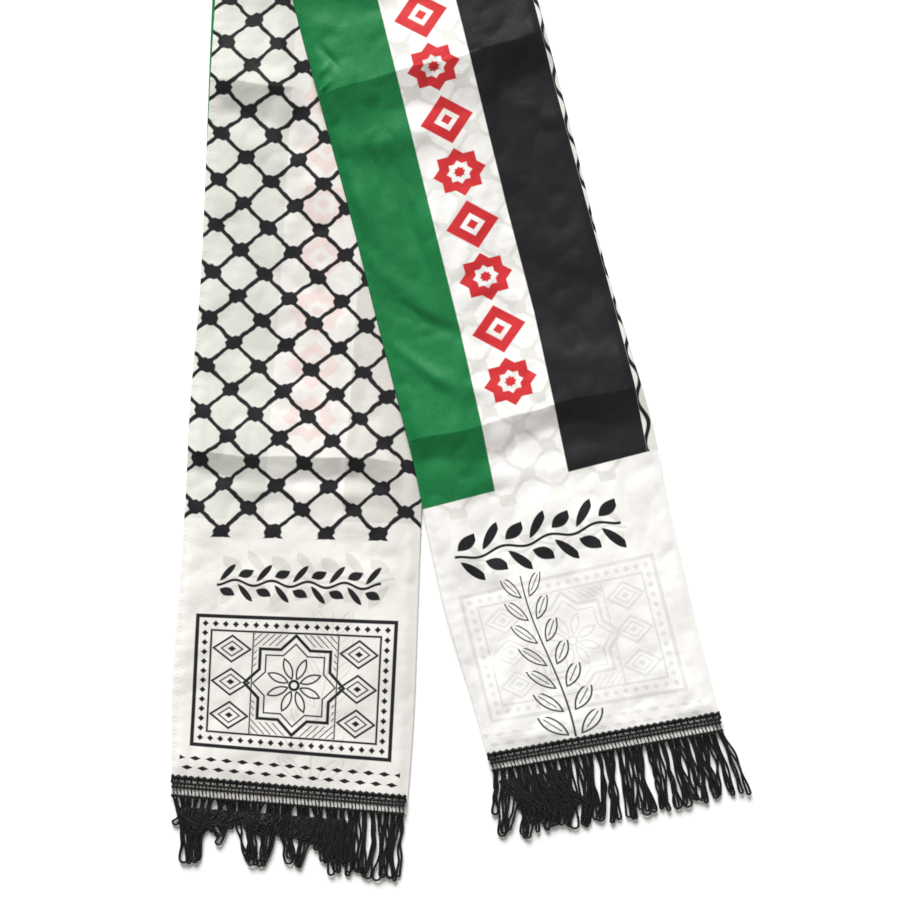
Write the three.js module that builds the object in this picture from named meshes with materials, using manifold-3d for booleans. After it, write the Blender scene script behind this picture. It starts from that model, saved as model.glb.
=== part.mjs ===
// A flag scarf laid folded once: a printed satin tube with a braided fringe on each end.
// The left leg lies on the surface with its net side up, the cloth turns over at the top,
// and the right leg comes back down over it with its flag side up.
// Millimetres, +Z up, +Y towards the turn, the surface at z = 0.

import * as THREE from 'three';
import { mergeVertices } from 'three/addons/utils/BufferGeometryUtils.js';
import Module from 'manifold-3d';

const wasm = await Module();
wasm.setup();

// Cloth
const WALL = 1.0;
const GAP = 0.3;
const LEG_THICKNESS = 2 * WALL + GAP;
const STACK_STEP = LEG_THICKNESS + GAP;

// The turn, where both legs' straight centre lines meet
const TURN_MIDDLE = { x: -68.7, y: 334.0 };
const LEFT_LEAN = THREE.MathUtils.degToRad(-2.9);
const RIGHT_LEAN = THREE.MathUtils.degToRad(14.4);
const TURN_TILT = (LEFT_LEAN + RIGHT_LEAN) / 2;
const TURN_SKEW = (RIGHT_LEAN - LEFT_LEAN) / 2;
const TURN_REACH = 50;
const TURN_INNER_RADIUS = 2.0;
const TURN_CENTRE_HEIGHT = TURN_INNER_RADIUS + LEG_THICKNESS;
const TURN_SETTLE = 2 * TURN_INNER_RADIUS - GAP;

// Where the upper leg comes down to the surface, beside the edge of the lower one, and how
// near to the upper leg the lower one's creases reach
const LEG_EDGE = 70;
const STEP_START = 15;
const STEP_END = 41;
const CREASE_FADE_START = 16;
const CREASE_FADE_END = 32;

// Braid and fringe
const BRAID_COVER = 9;
const BRAID_HEIGHT = 11.5;
const BRAID_THICKNESS = 1.2;
const BRAID_HALF_WIDTH = 68.2;
const BRAID_SCALLOPS = 36;
const SCALLOP_DEPTH = 1.2;
const SCALLOP_RISE_SHARE = 0.3;
const STRANDS_PER_END = 70;
const STRAND_RADIUS = 0.62;
const STRAND_ROOT_DEPTH = 1.5;
const STRAND_STEPS = 5;
const STRAND_LOW = 0.65;
const STRAND_HIGH = 1.9;
const STRAND_SWAY_POWER = 1.5;
const STRAND_DROP_POWER = 3;

// Mesh fineness
const ROW_STEP = 28;
const FLAT_COLUMNS = 5;
const LOWER_COLUMNS = 10;
const UPPER_COLUMNS = 12;
const TURN_COLUMNS = 8;
const TURN_ARC_STEPS = 10;
const TURN_LOWER_STEPS = 2;
const TURN_UPPER_STEPS = 6;
const WELD = 1e-4;

// Each leg's cut: along is the distance down its centre line from the turn's middle, left and
// right its edges' distance from that line, and slant how far a row across it runs further
// down for each millimetre to the right.
const LEFT_LEG = {
  lean: LEFT_LEAN,
  start: TURN_REACH / Math.cos(TURN_SKEW),
  outline: [
    { along: 0, left: -67.7, right: 69.5, slant: -Math.tan(TURN_SKEW) },
    { along: 60, left: -67.7, right: 69.5, slant: -Math.tan(TURN_SKEW) },
    { along: 190, left: -67.7, right: 69.5, slant: -0.030 },
    { along: 284, left: -66.5, right: 69.3, slant: 0.000 },
    { along: 330, left: -66.4, right: 69.2, slant: 0.000 },
    { along: 408, left: -68.9, right: 69.0, slant: 0.000 },
    { along: 464, left: -68.8, right: 69.3, slant: 0.000 },
    { along: 531, left: -70.4, right: 70.2, slant: 0.010 },
    { along: 571, left: -71.1, right: 70.7, slant: 0.025 },
    { along: 617, left: -69.0, right: 70.0, slant: 0.038 },
    { along: 645, left: -68.6, right: 69.0, slant: 0.038 },
  ],
  creases: [
    { along: 215.5, slant: 0.010, height: 1.3, reach: 12 },
    { along: 430.5, slant: 0.000, height: 1.7, reach: 13 },
  ],
  braidTop: 621.7,
};

const RIGHT_LEG = {
  lean: RIGHT_LEAN,
  start: TURN_REACH / Math.cos(TURN_SKEW),
  outline: [
    { along: 0, left: -69.0, right: 69.4, slant: Math.tan(TURN_SKEW) },
    { along: 60, left: -69.0, right: 69.4, slant: Math.tan(TURN_SKEW) },
    { along: 190, left: -69.0, right: 69.4, slant: -0.020 },
    { along: 279, left: -67.7, right: 69.4, slant: 0.000 },
    { along: 342, left: -68.0, right: 69.0, slant: 0.000 },
    { along: 394, left: -68.0, right: 71.0, slant: 0.000 },
    { along: 440, left: -68.4, right: 72.6, slant: 0.000 },
    { along: 458, left: -69.4, right: 72.0, slant: 0.000 },
    { along: 491, left: -70.9, right: 69.9, slant: 0.010 },
    { along: 527, left: -71.4, right: 69.2, slant: 0.040 },
    { along: 565, left: -69.8, right: 68.4, slant: 0.070 },
    { along: 606, left: -69.0, right: 68.4, slant: 0.090 },
    { along: 635, left: -68.4, right: 67.8, slant: 0.090 },
  ],
  creases: [
    { along: 207.5, slant: -0.032, height: 1.6, reach: 12 },
    { along: 418.0, slant: 0.012, height: 1.9, reach: 13 },
  ],
  braidTop: 611.5,
};

// The strands' bunches: the stretch of braid they hang from, the stretch their tips cover,
// both across the leg, and how far the tips hang below the braid.
const LEFT_BUNCHES = [
  { rootFrom: -67.5, rootTo: -42, tipFrom: -62.5, tipTo: -46.5, hang: 40 },
  { rootFrom: -42, rootTo: -30, tipFrom: -44.5, tipTo: -37.5, hang: 27 },
  { rootFrom: -30, rootTo: -4, tipFrom: -23, tipTo: -9.5, hang: 36 },
  { rootFrom: -4, rootTo: 11, tipFrom: 1, tipTo: 10, hang: 37 },
  { rootFrom: 11, rootTo: 38, tipFrom: 20, tipTo: 38, hang: 40 },
  { rootFrom: 38, rootTo: 67.5, tipFrom: 41, tipTo: 68.5, hang: 41 },
];

const RIGHT_BUNCHES = [
  { rootFrom: -67.5, rootTo: -57, tipFrom: -77, tipTo: -70, hang: 35 },
  { rootFrom: -57, rootTo: -45, tipFrom: -68, tipTo: -58, hang: 42 },
  { rootFrom: -45, rootTo: -31, tipFrom: -54, tipTo: -41, hang: 39 },
  { rootFrom: -31, rootTo: -19, tipFrom: -35, tipTo: -27, hang: 39 },
  { rootFrom: -19, rootTo: -8, tipFrom: -22, tipTo: -13.5, hang: 37 },
  { rootFrom: -8, rootTo: 5, tipFrom: -8.5, tipTo: 2, hang: 37 },
  { rootFrom: 5, rootTo: 20, tipFrom: 6, tipTo: 18.5, hang: 38 },
  { rootFrom: 20, rootTo: 33, tipFrom: 22, tipTo: 32, hang: 37 },
  { rootFrom: 33, rootTo: 47, tipFrom: 36, tipTo: 46.5, hang: 37 },
  { rootFrom: 47, rootTo: 60, tipFrom: 50, tipTo: 60, hang: 37 },
  { rootFrom: 60, rootTo: 67.5, tipFrom: 67, tipTo: 74, hang: 39 },
];

const satin = (color) => new THREE.MeshStandardMaterial({ color, roughness: 0.45, metalness: 0 });
const NET_SIDE = satin(0xf2f0ec);
const FLAG_SIDE = satin(0x1f8047);
const YARN = new THREE.MeshStandardMaterial({ color: 0x141416, roughness: 0.4, metalness: 0 });

const mix = (from, to, share) => from + (to - from) * share;

function smooth(from, to, value) {
  const t = THREE.MathUtils.clamp((value - from) / (to - from), 0, 1);
  return t * t * (3 - 2 * t);
}

// The first of the two rows of a table that a station lies between.
function rowBefore(rows, along) {
  let i = 0;
  while (i < rows.length - 2 && rows[i + 1].along < along) i += 1;
  return i;
}

// How far a row of a leg slants at a station.
function slantAt(leg, along) {
  const i = rowBefore(leg.outline, along);
  const a = leg.outline[i];
  const b = leg.outline[i + 1];
  return mix(a.slant, b.slant, (along - a.along) / (b.along - a.along));
}

// An edge of a leg's cut at a station, on a smooth curve through the outline's rows.
function edgeAt(leg, column, along) {
  const rows = leg.outline;
  const i = rowBefore(rows, along);
  const a = rows[i];
  const b = rows[i + 1];
  const before = rows[Math.max(i - 1, 0)];
  const after = rows[Math.min(i + 2, rows.length - 1)];
  const span = b.along - a.along;
  const slopeA = (b[column] - before[column]) / (b.along - before.along);
  const slopeB = (after[column] - a[column]) / (after.along - a.along);
  const t = (along - a.along) / span;
  const rise = b[column] - a[column];
  const bend = mix(slopeA * span - rise, rise - slopeB * span, t);
  return a[column] + rise * t + bend * t * (1 - t);
}

// The place on the surface of a point of a leg.
function placeOnLeg(leg, along, across) {
  const sin = Math.sin(leg.lean);
  const cos = Math.cos(leg.lean);
  return {
    x: TURN_MIDDLE.x + sin * along + cos * across,
    y: TURN_MIDDLE.y - cos * along + sin * across,
  };
}

// How far right of a leg's centre line a place on the surface lies.
function acrossLeg(leg, x, y) {
  return (x - TURN_MIDDLE.x) * Math.cos(leg.lean) + (y - TURN_MIDDLE.y) * Math.sin(leg.lean);
}

// A point of a leg's cut: share 0 is its left edge and 1 its right edge.
function cutPoint(leg, station, share) {
  const offsetAt = (along) => mix(edgeAt(leg, 'left', along), edgeAt(leg, 'right', along), share);
  const along = station + slantAt(leg, station) * offsetAt(station);
  const across = offsetAt(along);
  return { along, across, ...placeOnLeg(leg, along, across) };
}

// How high the upper leg lies over the lower one, and the surface beside it.
function stackHeight(x, y) {
  const beside = acrossLeg(LEFT_LEG, x, y) - LEG_EDGE;
  return STACK_STEP * (1 - smooth(STEP_START, STEP_END, beside));
}

// The packing creases, as ridges of a leg's upper side.
function creaseHeight(leg, along, across) {
  let height = 0;
  for (const crease of leg.creases) {
    const off = Math.abs(along - crease.along - crease.slant * across);
    height += crease.height * (1 - smooth(0, crease.reach, off));
  }
  return height;
}

// The stations of a leg's rows: close together on the creases, wider apart between them.
function stationsOf(leg) {
  const end = leg.braidTop + BRAID_COVER;
  const marks = [leg.start + GAP / 2, end];
  for (const crease of leg.creases) {
    for (const part of [-1, -0.5, 0, 0.5, 1]) marks.push(crease.along + part * crease.reach);
  }
  marks.sort((a, b) => a - b);
  const stations = [marks[0]];
  for (let i = 1; i < marks.length; i += 1) {
    const steps = Math.ceil((marks[i] - marks[i - 1]) / ROW_STEP);
    for (let k = 1; k <= steps; k += 1) stations.push(mix(marks[i - 1], marks[i], k / steps));
  }
  return stations;
}

function signedVolume(positions, triangles) {
  const a = new THREE.Vector3();
  const b = new THREE.Vector3();
  const c = new THREE.Vector3();
  let volume = 0;
  for (let i = 0; i < triangles.length; i += 3) {
    a.fromArray(positions, 3 * triangles[i]);
    b.fromArray(positions, 3 * triangles[i + 1]);
    c.fromArray(positions, 3 * triangles[i + 2]);
    volume += a.dot(b.cross(c)) / 6;
  }
  return volume;
}

// A closed geometry with its faces pointing out.
function closedGeometry(positions, triangles) {
  const faces = signedVolume(positions, triangles) < 0 ? [...triangles].reverse() : triangles;
  const geometry = new THREE.BufferGeometry();
  geometry.setAttribute('position', new THREE.Float32BufferAttribute(positions, 3));
  geometry.setIndex(faces);
  return geometry;
}

// A wall of cloth between two skins, each a grid of points with the same rows and columns.
function clothWall(skinA, skinB) {
  const rows = skinA.length;
  const columns = skinA[0].length;
  const positions = [...skinA, ...skinB].flat(2);
  const at = (skin, row, column) => (skin * rows + row) * columns + column;
  const triangles = [];
  const quad = (a, b, c, d) => triangles.push(a, b, c, a, c, d);
  for (let i = 0; i < rows - 1; i += 1) {
    for (let j = 0; j < columns - 1; j += 1) {
      quad(at(0, i, j), at(0, i, j + 1), at(0, i + 1, j + 1), at(0, i + 1, j));
      quad(at(1, i, j), at(1, i + 1, j), at(1, i + 1, j + 1), at(1, i, j + 1));
    }
    quad(at(0, i, 0), at(0, i + 1, 0), at(1, i + 1, 0), at(1, i, 0));
    quad(at(0, i, columns - 1), at(1, i, columns - 1), at(1, i + 1, columns - 1), at(0, i + 1, columns - 1));
  }
  for (let j = 0; j < columns - 1; j += 1) {
    quad(at(0, 0, j), at(1, 0, j), at(1, 0, j + 1), at(0, 0, j + 1));
    quad(at(0, rows - 1, j), at(0, rows - 1, j + 1), at(1, rows - 1, j + 1), at(1, rows - 1, j));
  }
  return closedGeometry(positions, triangles);
}

// One side of a leg: heightAt gives the underside of its wall at a point of the cut.
function legPanel(leg, columns, heightAt) {
  const under = [];
  const over = [];
  for (const station of stationsOf(leg)) {
    const points = [];
    for (let j = 0; j <= columns; j += 1) points.push(cutPoint(leg, station, j / columns));
    under.push(points.map((p) => [p.x, p.y, heightAt(p)]));
    over.push(points.map((p) => [p.x, p.y, heightAt(p) + WALL]));
  }
  return clothWall(under, over);
}

// The rows of the turn, from the lower leg round to the upper one: back is the distance from
// the fold's middle towards the legs, and side runs from -1 below the fold to 1 above it.
function turnRows() {
  const rows = [];
  for (let k = TURN_LOWER_STEPS; k > 0; k -= 1) {
    rows.push({ back: (TURN_REACH * k) / TURN_LOWER_STEPS, side: -1 });
  }
  for (let k = 0; k <= TURN_ARC_STEPS; k += 1) {
    rows.push({ back: 0, side: mix(-1, 1, k / TURN_ARC_STEPS) });
  }
  for (let k = 1; k <= TURN_UPPER_STEPS; k += 1) {
    rows.push({ back: (TURN_REACH * k) / TURN_UPPER_STEPS, side: 1 });
  }
  return rows;
}

// One skin of the turn, at its own radius about the fold's middle.
function turnSkin(radius) {
  const along = { x: Math.cos(TURN_TILT), y: Math.sin(TURN_TILT) };
  const outward = { x: -Math.sin(TURN_TILT), y: Math.cos(TURN_TILT) };
  const lower = LEFT_LEG.outline[0];
  const upper = RIGHT_LEG.outline[0];
  return turnRows().map((row) => {
    const angle = (row.side * Math.PI) / 2;
    const out = row.back === 0 ? radius * Math.cos(angle) : -row.back;
    const settle = row.side > 0 ? TURN_SETTLE * smooth(0, TURN_REACH, row.back) : 0;
    const z = TURN_CENTRE_HEIGHT + radius * Math.sin(angle) - settle;
    const drift = row.side * Math.tan(TURN_SKEW) * row.back;
    const left = mix(lower.left, upper.left, (row.side + 1) / 2) / Math.cos(TURN_SKEW);
    const right = mix(lower.right, upper.right, (row.side + 1) / 2) / Math.cos(TURN_SKEW);
    const points = [];
    for (let j = 0; j <= TURN_COLUMNS; j += 1) {
      const across = mix(left, right, j / TURN_COLUMNS) + drift;
      points.push([
        TURN_MIDDLE.x + along.x * across + outward.x * out,
        TURN_MIDDLE.y + along.y * across + outward.y * out,
        z,
      ]);
    }
    return points;
  });
}

// A place in the fringe: below is the distance down from the braid's upper edge.
function fringePoint(leg, across, below, height) {
  const top = leg.braidTop + slantAt(leg, leg.braidTop) * across;
  const { x, y } = placeOnLeg(leg, top + below, across);
  return [x, y, height];
}

// The braid as a flat bar with a scalloped upper edge.
function braidBar(leg) {
  const shape = new THREE.Shape();
  const pitch = (2 * BRAID_HALF_WIDTH) / BRAID_SCALLOPS;
  shape.moveTo(BRAID_HALF_WIDTH, BRAID_HEIGHT);
  shape.lineTo(-BRAID_HALF_WIDTH, BRAID_HEIGHT);
  shape.lineTo(-BRAID_HALF_WIDTH, SCALLOP_DEPTH);
  for (let k = 0; k < BRAID_SCALLOPS; k += 1) {
    const left = -BRAID_HALF_WIDTH + k * pitch;
    shape.lineTo(left + SCALLOP_RISE_SHARE * pitch, 0);
    shape.lineTo(left + (1 - SCALLOP_RISE_SHARE) * pitch, 0);
    shape.lineTo(left + pitch, SCALLOP_DEPTH);
  }
  const bar = new THREE.ExtrudeGeometry(shape, { depth: BRAID_THICKNESS, bevelEnabled: false });
  bar.deleteAttribute('normal');
  bar.deleteAttribute('uv');
  const merged = mergeVertices(bar, WELD);
  const local = merged.getAttribute('position');
  const positions = [];
  for (let i = 0; i < local.count; i += 1) {
    positions.push(...fringePoint(leg, local.getX(i), local.getY(i), STACK_STEP + local.getZ(i)));
  }
  return closedGeometry(positions, [...merged.index.array]);
}

// One strand: a three-sided yarn from inside the braid down to the surface.
function strand(leg, root, tip, hang, restHeight) {
  const rings = [];
  const rootHeight = STACK_STEP + BRAID_THICKNESS / 2;
  for (let k = 0; k <= STRAND_STEPS; k += 1) {
    const t = k / STRAND_STEPS;
    const across = mix(root, tip, Math.pow(t, STRAND_SWAY_POWER));
    const below = BRAID_HEIGHT - STRAND_ROOT_DEPTH + t * (hang + STRAND_ROOT_DEPTH);
    const height = mix(rootHeight, restHeight, 1 - Math.pow(1 - t, STRAND_DROP_POWER));
    const half = STRAND_RADIUS * Math.cos(Math.PI / 6);
    rings.push([
      fringePoint(leg, across - half, below, height - STRAND_RADIUS / 2),
      fringePoint(leg, across + half, below, height - STRAND_RADIUS / 2),
      fringePoint(leg, across, below, height + STRAND_RADIUS),
    ]);
  }
  const triangles = [0, 1, 2];
  for (let k = 0; k < STRAND_STEPS; k += 1) {
    for (let s = 0; s < 3; s += 1) {
      const a = 3 * k + s;
      const b = 3 * k + ((s + 1) % 3);
      triangles.push(a, a + 3, b + 3, a, b + 3, b);
    }
  }
  const tipRing = 3 * STRAND_STEPS;
  triangles.push(tipRing, tipRing + 2, tipRing + 1);
  return closedGeometry(rings.flat(2), triangles);
}

function solidOf(geometry) {
  const vertProperties = Float32Array.from(geometry.getAttribute('position').array);
  const triVerts = Uint32Array.from(geometry.index.array);
  return new wasm.Manifold(new wasm.Mesh({ numProp: 3, vertProperties, triVerts }));
}

function geometryOf(solid) {
  const mesh = solid.getMesh();
  return closedGeometry([...mesh.vertProperties], [...mesh.triVerts]);
}

// The braid with its strands, joined only where they are sewn into it.
function fringe(leg, bunches) {
  let solid = solidOf(braidBar(leg));
  const firstRoot = bunches[0].rootFrom;
  const lastRoot = bunches[bunches.length - 1].rootTo;
  const pitch = (lastRoot - firstRoot) / STRANDS_PER_END;
  for (let n = 0; n < STRANDS_PER_END; n += 1) {
    const root = firstRoot + (n + 0.5) * pitch;
    const bunch = bunches.find((row) => root < row.rootTo);
    const share = (root - bunch.rootFrom) / (bunch.rootTo - bunch.rootFrom);
    const tip = mix(bunch.tipFrom, bunch.tipTo, share);
    const rest = n % 2 === 0 ? STRAND_LOW : STRAND_HIGH;
    solid = solid.add(solidOf(strand(leg, root, tip, bunch.hang, rest)));
  }
  return geometryOf(solid);
}

const scarf = new THREE.Group();
scarf.name = 'flag_scarf';

function addPiece(name, geometry, material) {
  const mesh = new THREE.Mesh(geometry, material);
  mesh.name = name;
  scarf.add(mesh);
}

// Under the upper leg the lower one is pressed flat, so its creases fade out there.
function lowerCrease(p) {
  const uncovered = -LEG_EDGE - acrossLeg(RIGHT_LEG, p.x, p.y);
  return creaseHeight(LEFT_LEG, p.along, p.across) * smooth(CREASE_FADE_START, CREASE_FADE_END, uncovered);
}

const netOfLowerLeg = (p) => WALL + GAP + lowerCrease(p);
const netOfUpperLeg = (p) => stackHeight(p.x, p.y);
const flagOfUpperLeg = (p) => netOfUpperLeg(p) + WALL + GAP + creaseHeight(RIGHT_LEG, p.along, p.across);

addPiece('left_leg_flag_side', legPanel(LEFT_LEG, FLAT_COLUMNS, () => 0), FLAG_SIDE);
addPiece('left_leg_net_side', legPanel(LEFT_LEG, LOWER_COLUMNS, netOfLowerLeg), NET_SIDE);
addPiece('right_leg_net_side', legPanel(RIGHT_LEG, UPPER_COLUMNS, netOfUpperLeg), NET_SIDE);
addPiece('right_leg_flag_side', legPanel(RIGHT_LEG, UPPER_COLUMNS, flagOfUpperLeg), FLAG_SIDE);

const netSkin = TURN_INNER_RADIUS;
const flagSkin = TURN_INNER_RADIUS + WALL + GAP;
addPiece('turn_net_side', clothWall(turnSkin(netSkin), turnSkin(netSkin + WALL)), NET_SIDE);
addPiece('turn_flag_side', clothWall(turnSkin(flagSkin), turnSkin(flagSkin + WALL)), FLAG_SIDE);

addPiece('left_fringe', fringe(LEFT_LEG, LEFT_BUNCHES), YARN);
addPiece('right_fringe', fringe(RIGHT_LEG, RIGHT_BUNCHES), YARN);

export default scarf;
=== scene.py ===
"""A flag scarf laid folded once: its printed satin tube, end braids and looped fringes.

Lengths in the dataclasses are millimetres in the part's own frame, and the meshes are made in
metres. A station is a distance down a leg's centre line from the turn, and a run is a distance
along the cloth from the left end's hem.
"""

from __future__ import annotations

import logging
import math
import random
from dataclasses import dataclass
from enum import Enum
from typing import Protocol

import bpy
import numpy as np
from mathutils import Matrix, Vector

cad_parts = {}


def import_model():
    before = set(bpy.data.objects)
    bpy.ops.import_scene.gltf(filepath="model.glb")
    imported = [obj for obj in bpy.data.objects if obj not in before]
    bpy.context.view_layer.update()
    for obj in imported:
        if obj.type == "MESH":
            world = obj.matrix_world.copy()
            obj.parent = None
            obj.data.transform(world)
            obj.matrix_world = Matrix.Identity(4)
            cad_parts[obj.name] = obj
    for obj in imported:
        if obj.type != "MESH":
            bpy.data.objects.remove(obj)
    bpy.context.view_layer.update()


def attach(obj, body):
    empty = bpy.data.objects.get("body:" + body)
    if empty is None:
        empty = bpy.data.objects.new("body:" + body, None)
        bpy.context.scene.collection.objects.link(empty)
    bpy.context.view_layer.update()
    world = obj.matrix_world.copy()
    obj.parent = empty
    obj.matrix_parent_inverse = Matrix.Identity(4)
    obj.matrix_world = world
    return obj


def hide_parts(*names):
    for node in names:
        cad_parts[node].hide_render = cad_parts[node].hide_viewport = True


LOG = logging.getLogger("flag_scarf")

MM = 0.001
HALF_DIAGONAL = math.sqrt(0.5)
CHANCE_TABLE = 64
SHORTEST = 1e-9

# The flat tube, and how the right leg lies over the left one near the turn
CLOTH_THICKNESS = 2.3
STACK_STEP = 2.6
STACK_EDGE = 70.0
STACK_FALL = (15.0, 41.0)

# The turn, where the tube folds over once
TURN_MIDDLE = (-68.7, 334.0)
LEFT_LEAN = math.radians(-2.9)
RIGHT_LEAN = math.radians(14.4)
TURN_TILT = (LEFT_LEAN + RIGHT_LEAN) / 2
TURN_SKEW = (RIGHT_LEAN - LEFT_LEAN) / 2
TURN_REACH = 50.0
TURN_INNER_RADIUS = 2.0
TURN_SETTLE = 3.7

# The braid at each end, and how far the cloth goes under it
BRAID_COVER = 9.0
BRAID_HEIGHT = 11.5
BRAID_HALF_WIDTH = 68.2

# The print: one side's width, half the white stripe, and where its two fields end
PRINT_WIDTH = 141.0
STRIPE_EDGE = 22.7
STRIPES_END = 163.0
NET_END = 152.4


class Side(Enum):
    """Which printed side of the tube a leg shows."""

    NET = "net"
    FLAG = "flag"


class Edge(Enum):
    """One of a leg's two side edges."""

    LEFT = "left"
    RIGHT = "right"


class Blend(Enum):
    """How a colour is laid over another one."""

    COVER = "MIX"
    TINT = "MULTIPLY"


def chance(seed: int, x: np.ndarray, y: np.ndarray) -> np.ndarray:
    """Soft seeded chance over a plane, with spots one unit wide.

    Args:
        seed: Picks one pattern.
        x: The first coordinate.
        y: The second one.

    Returns:
        Numbers from about -1 to 1.
    """
    table = np.random.default_rng(seed).uniform(-1, 1, (CHANCE_TABLE, CHANCE_TABLE))
    column, row = np.floor(x).astype(int), np.floor(y).astype(int)
    right, up = x - column, y - row
    right, up = right * right * (3 - 2 * right), up * up * (3 - 2 * up)
    edges = []
    for next_row in (0, 1):
        ends = [table[(row + next_row) % CHANCE_TABLE, (column + k) % CHANCE_TABLE] for k in (0, 1)]
        edges.append(ends[0] * (1 - right) + ends[1] * right)
    return edges[0] * (1 - up) + edges[1] * up


def smooth(start: float, end: float, value: np.ndarray) -> np.ndarray:
    """Rises softly from 0 at start to 1 at end.

    Args:
        start: Value where the rise begins.
        end: Value where it is complete.
        value: Numbers to read it at.

    Returns:
        The share risen, from 0 to 1.
    """
    t = np.clip((np.asarray(value, float) - start) / (end - start), 0.0, 1.0)
    return t * t * (3 - 2 * t)


def unit(vectors: np.ndarray) -> np.ndarray:
    """The same directions, each with a length of 1."""
    return vectors / np.maximum(np.linalg.norm(vectors, axis=-1, keepdims=True), SHORTEST)


def ring_faces(rows: int, ring: int) -> np.ndarray:
    """The faces between neighbouring rings of points.

    Args:
        rows: How many rings there are.
        ring: How many points each has.

    Returns:
        The four corners of each face.
    """
    i, j = np.meshgrid(np.arange(rows - 1), np.arange(ring), indexing="ij")
    after = (j + 1) % ring
    return np.stack([i * ring + j, i * ring + after, (i + 1) * ring + after, (i + 1) * ring + j], -1)


def add_piece(mesh: bpy.types.Mesh) -> bpy.types.Object:
    """Puts a mesh into the scene.

    Args:
        mesh: The mesh.

    Returns:
        The new piece, with the mesh's name.
    """
    piece = bpy.data.objects.new(mesh.name, mesh)
    bpy.context.scene.collection.objects.link(piece)
    return piece


def dress_piece(
    piece: bpy.types.Object, finish: bpy.types.Material, replaced: tuple[str, ...]
) -> bpy.types.Object:
    """Gives a piece its finish and its place on the frame.

    Args:
        piece: The piece.
        finish: Its material.
        replaced: The frame's nodes that it takes the place of.

    Returns:
        The piece.
    """
    piece.data.materials.append(finish)
    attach(piece, "root")
    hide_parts(*replaced)
    LOG.info("%s: %d faces", piece.name, len(piece.data.polygons))
    return piece


def bare_material(name: str) -> tuple[bpy.types.Material, bpy.types.NodeTree, bpy.types.Node]:
    """Makes a plain material.

    Args:
        name: The material's name.

    Returns:
        The material, its node tree and its shader.
    """
    made = bpy.data.materials.new(name)
    made.use_nodes = True
    return made, made.node_tree, made.node_tree.nodes["Principled BSDF"]


@dataclass(frozen=True)
class OutlineRow:
    """A leg's two edges at a station, and how far a row across it slants down to the right."""

    along: float
    left: float
    right: float
    slant: float


@dataclass(frozen=True)
class StripeRow:
    """Where the stripes' edges lie on the upper leg at a station."""

    along: float
    white_left: float
    white_right: float
    black_right: float


@dataclass(frozen=True)
class PackingCrease:
    """A sharp crease across a leg, with a short slope above it and a longer one below."""

    along: float
    slant: float
    height: float
    above: float
    below: float
    wander: float = 1.0
    wander_length: float = 19.0
    fine_wander: float = 0.5
    fine_length: float = 7.0
    uneven: float = 0.22
    uneven_length: float = 13.0
    foot: float = 0.12

    def relief(self, along: np.ndarray, across: np.ndarray) -> np.ndarray:
        """Its height over the leg.

        Args:
            along: Station of each point.
            across: Distance of each point right of the centre line.

        Returns:
            Its height at each point.
        """
        wander = self.wander * np.sin(across / self.wander_length + self.along)
        wander = wander + self.fine_wander * np.sin(across / self.fine_length)
        off = along - self.along - self.slant * across - wander
        spread = 1 + self.uneven * np.sin(across / self.uneven_length + self.along)
        reach = np.where(off < 0, self.above, self.below * spread)
        climb = np.maximum(1 - np.abs(off) / reach, 0.0)
        return self.height * climb**2 * (1 + self.foot) / (climb + self.foot)


@dataclass(frozen=True)
class Fold:
    """A soft ridge, or a trough where its height is negative."""

    along: float
    across: float
    length: float
    angle: float
    width: float
    height: float

    def relief(self, along: np.ndarray, across: np.ndarray) -> np.ndarray:
        """Its height over the leg.

        Args:
            along: Station of each point.
            across: Distance of each point right of the centre line.

        Returns:
            Its height at each point.
        """
        turn = math.radians(self.angle)
        down, right = along - self.along, across - self.across
        lengthwise = down * math.cos(turn) + right * math.sin(turn)
        sideways = right * math.cos(turn) - down * math.sin(turn)
        shape = (lengthwise / (0.5 * self.length)) ** 2 + (sideways / self.width) ** 2
        return self.height * np.exp(-shape)


@dataclass(frozen=True)
class Bunch:
    """Neighbouring fringe loops that hang together, and how deep they fill the space between."""

    root_from: float
    root_to: float
    tip_from: float
    tip_to: float
    hang: float
    body: float
    drawn_up: float = 0.0


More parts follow.
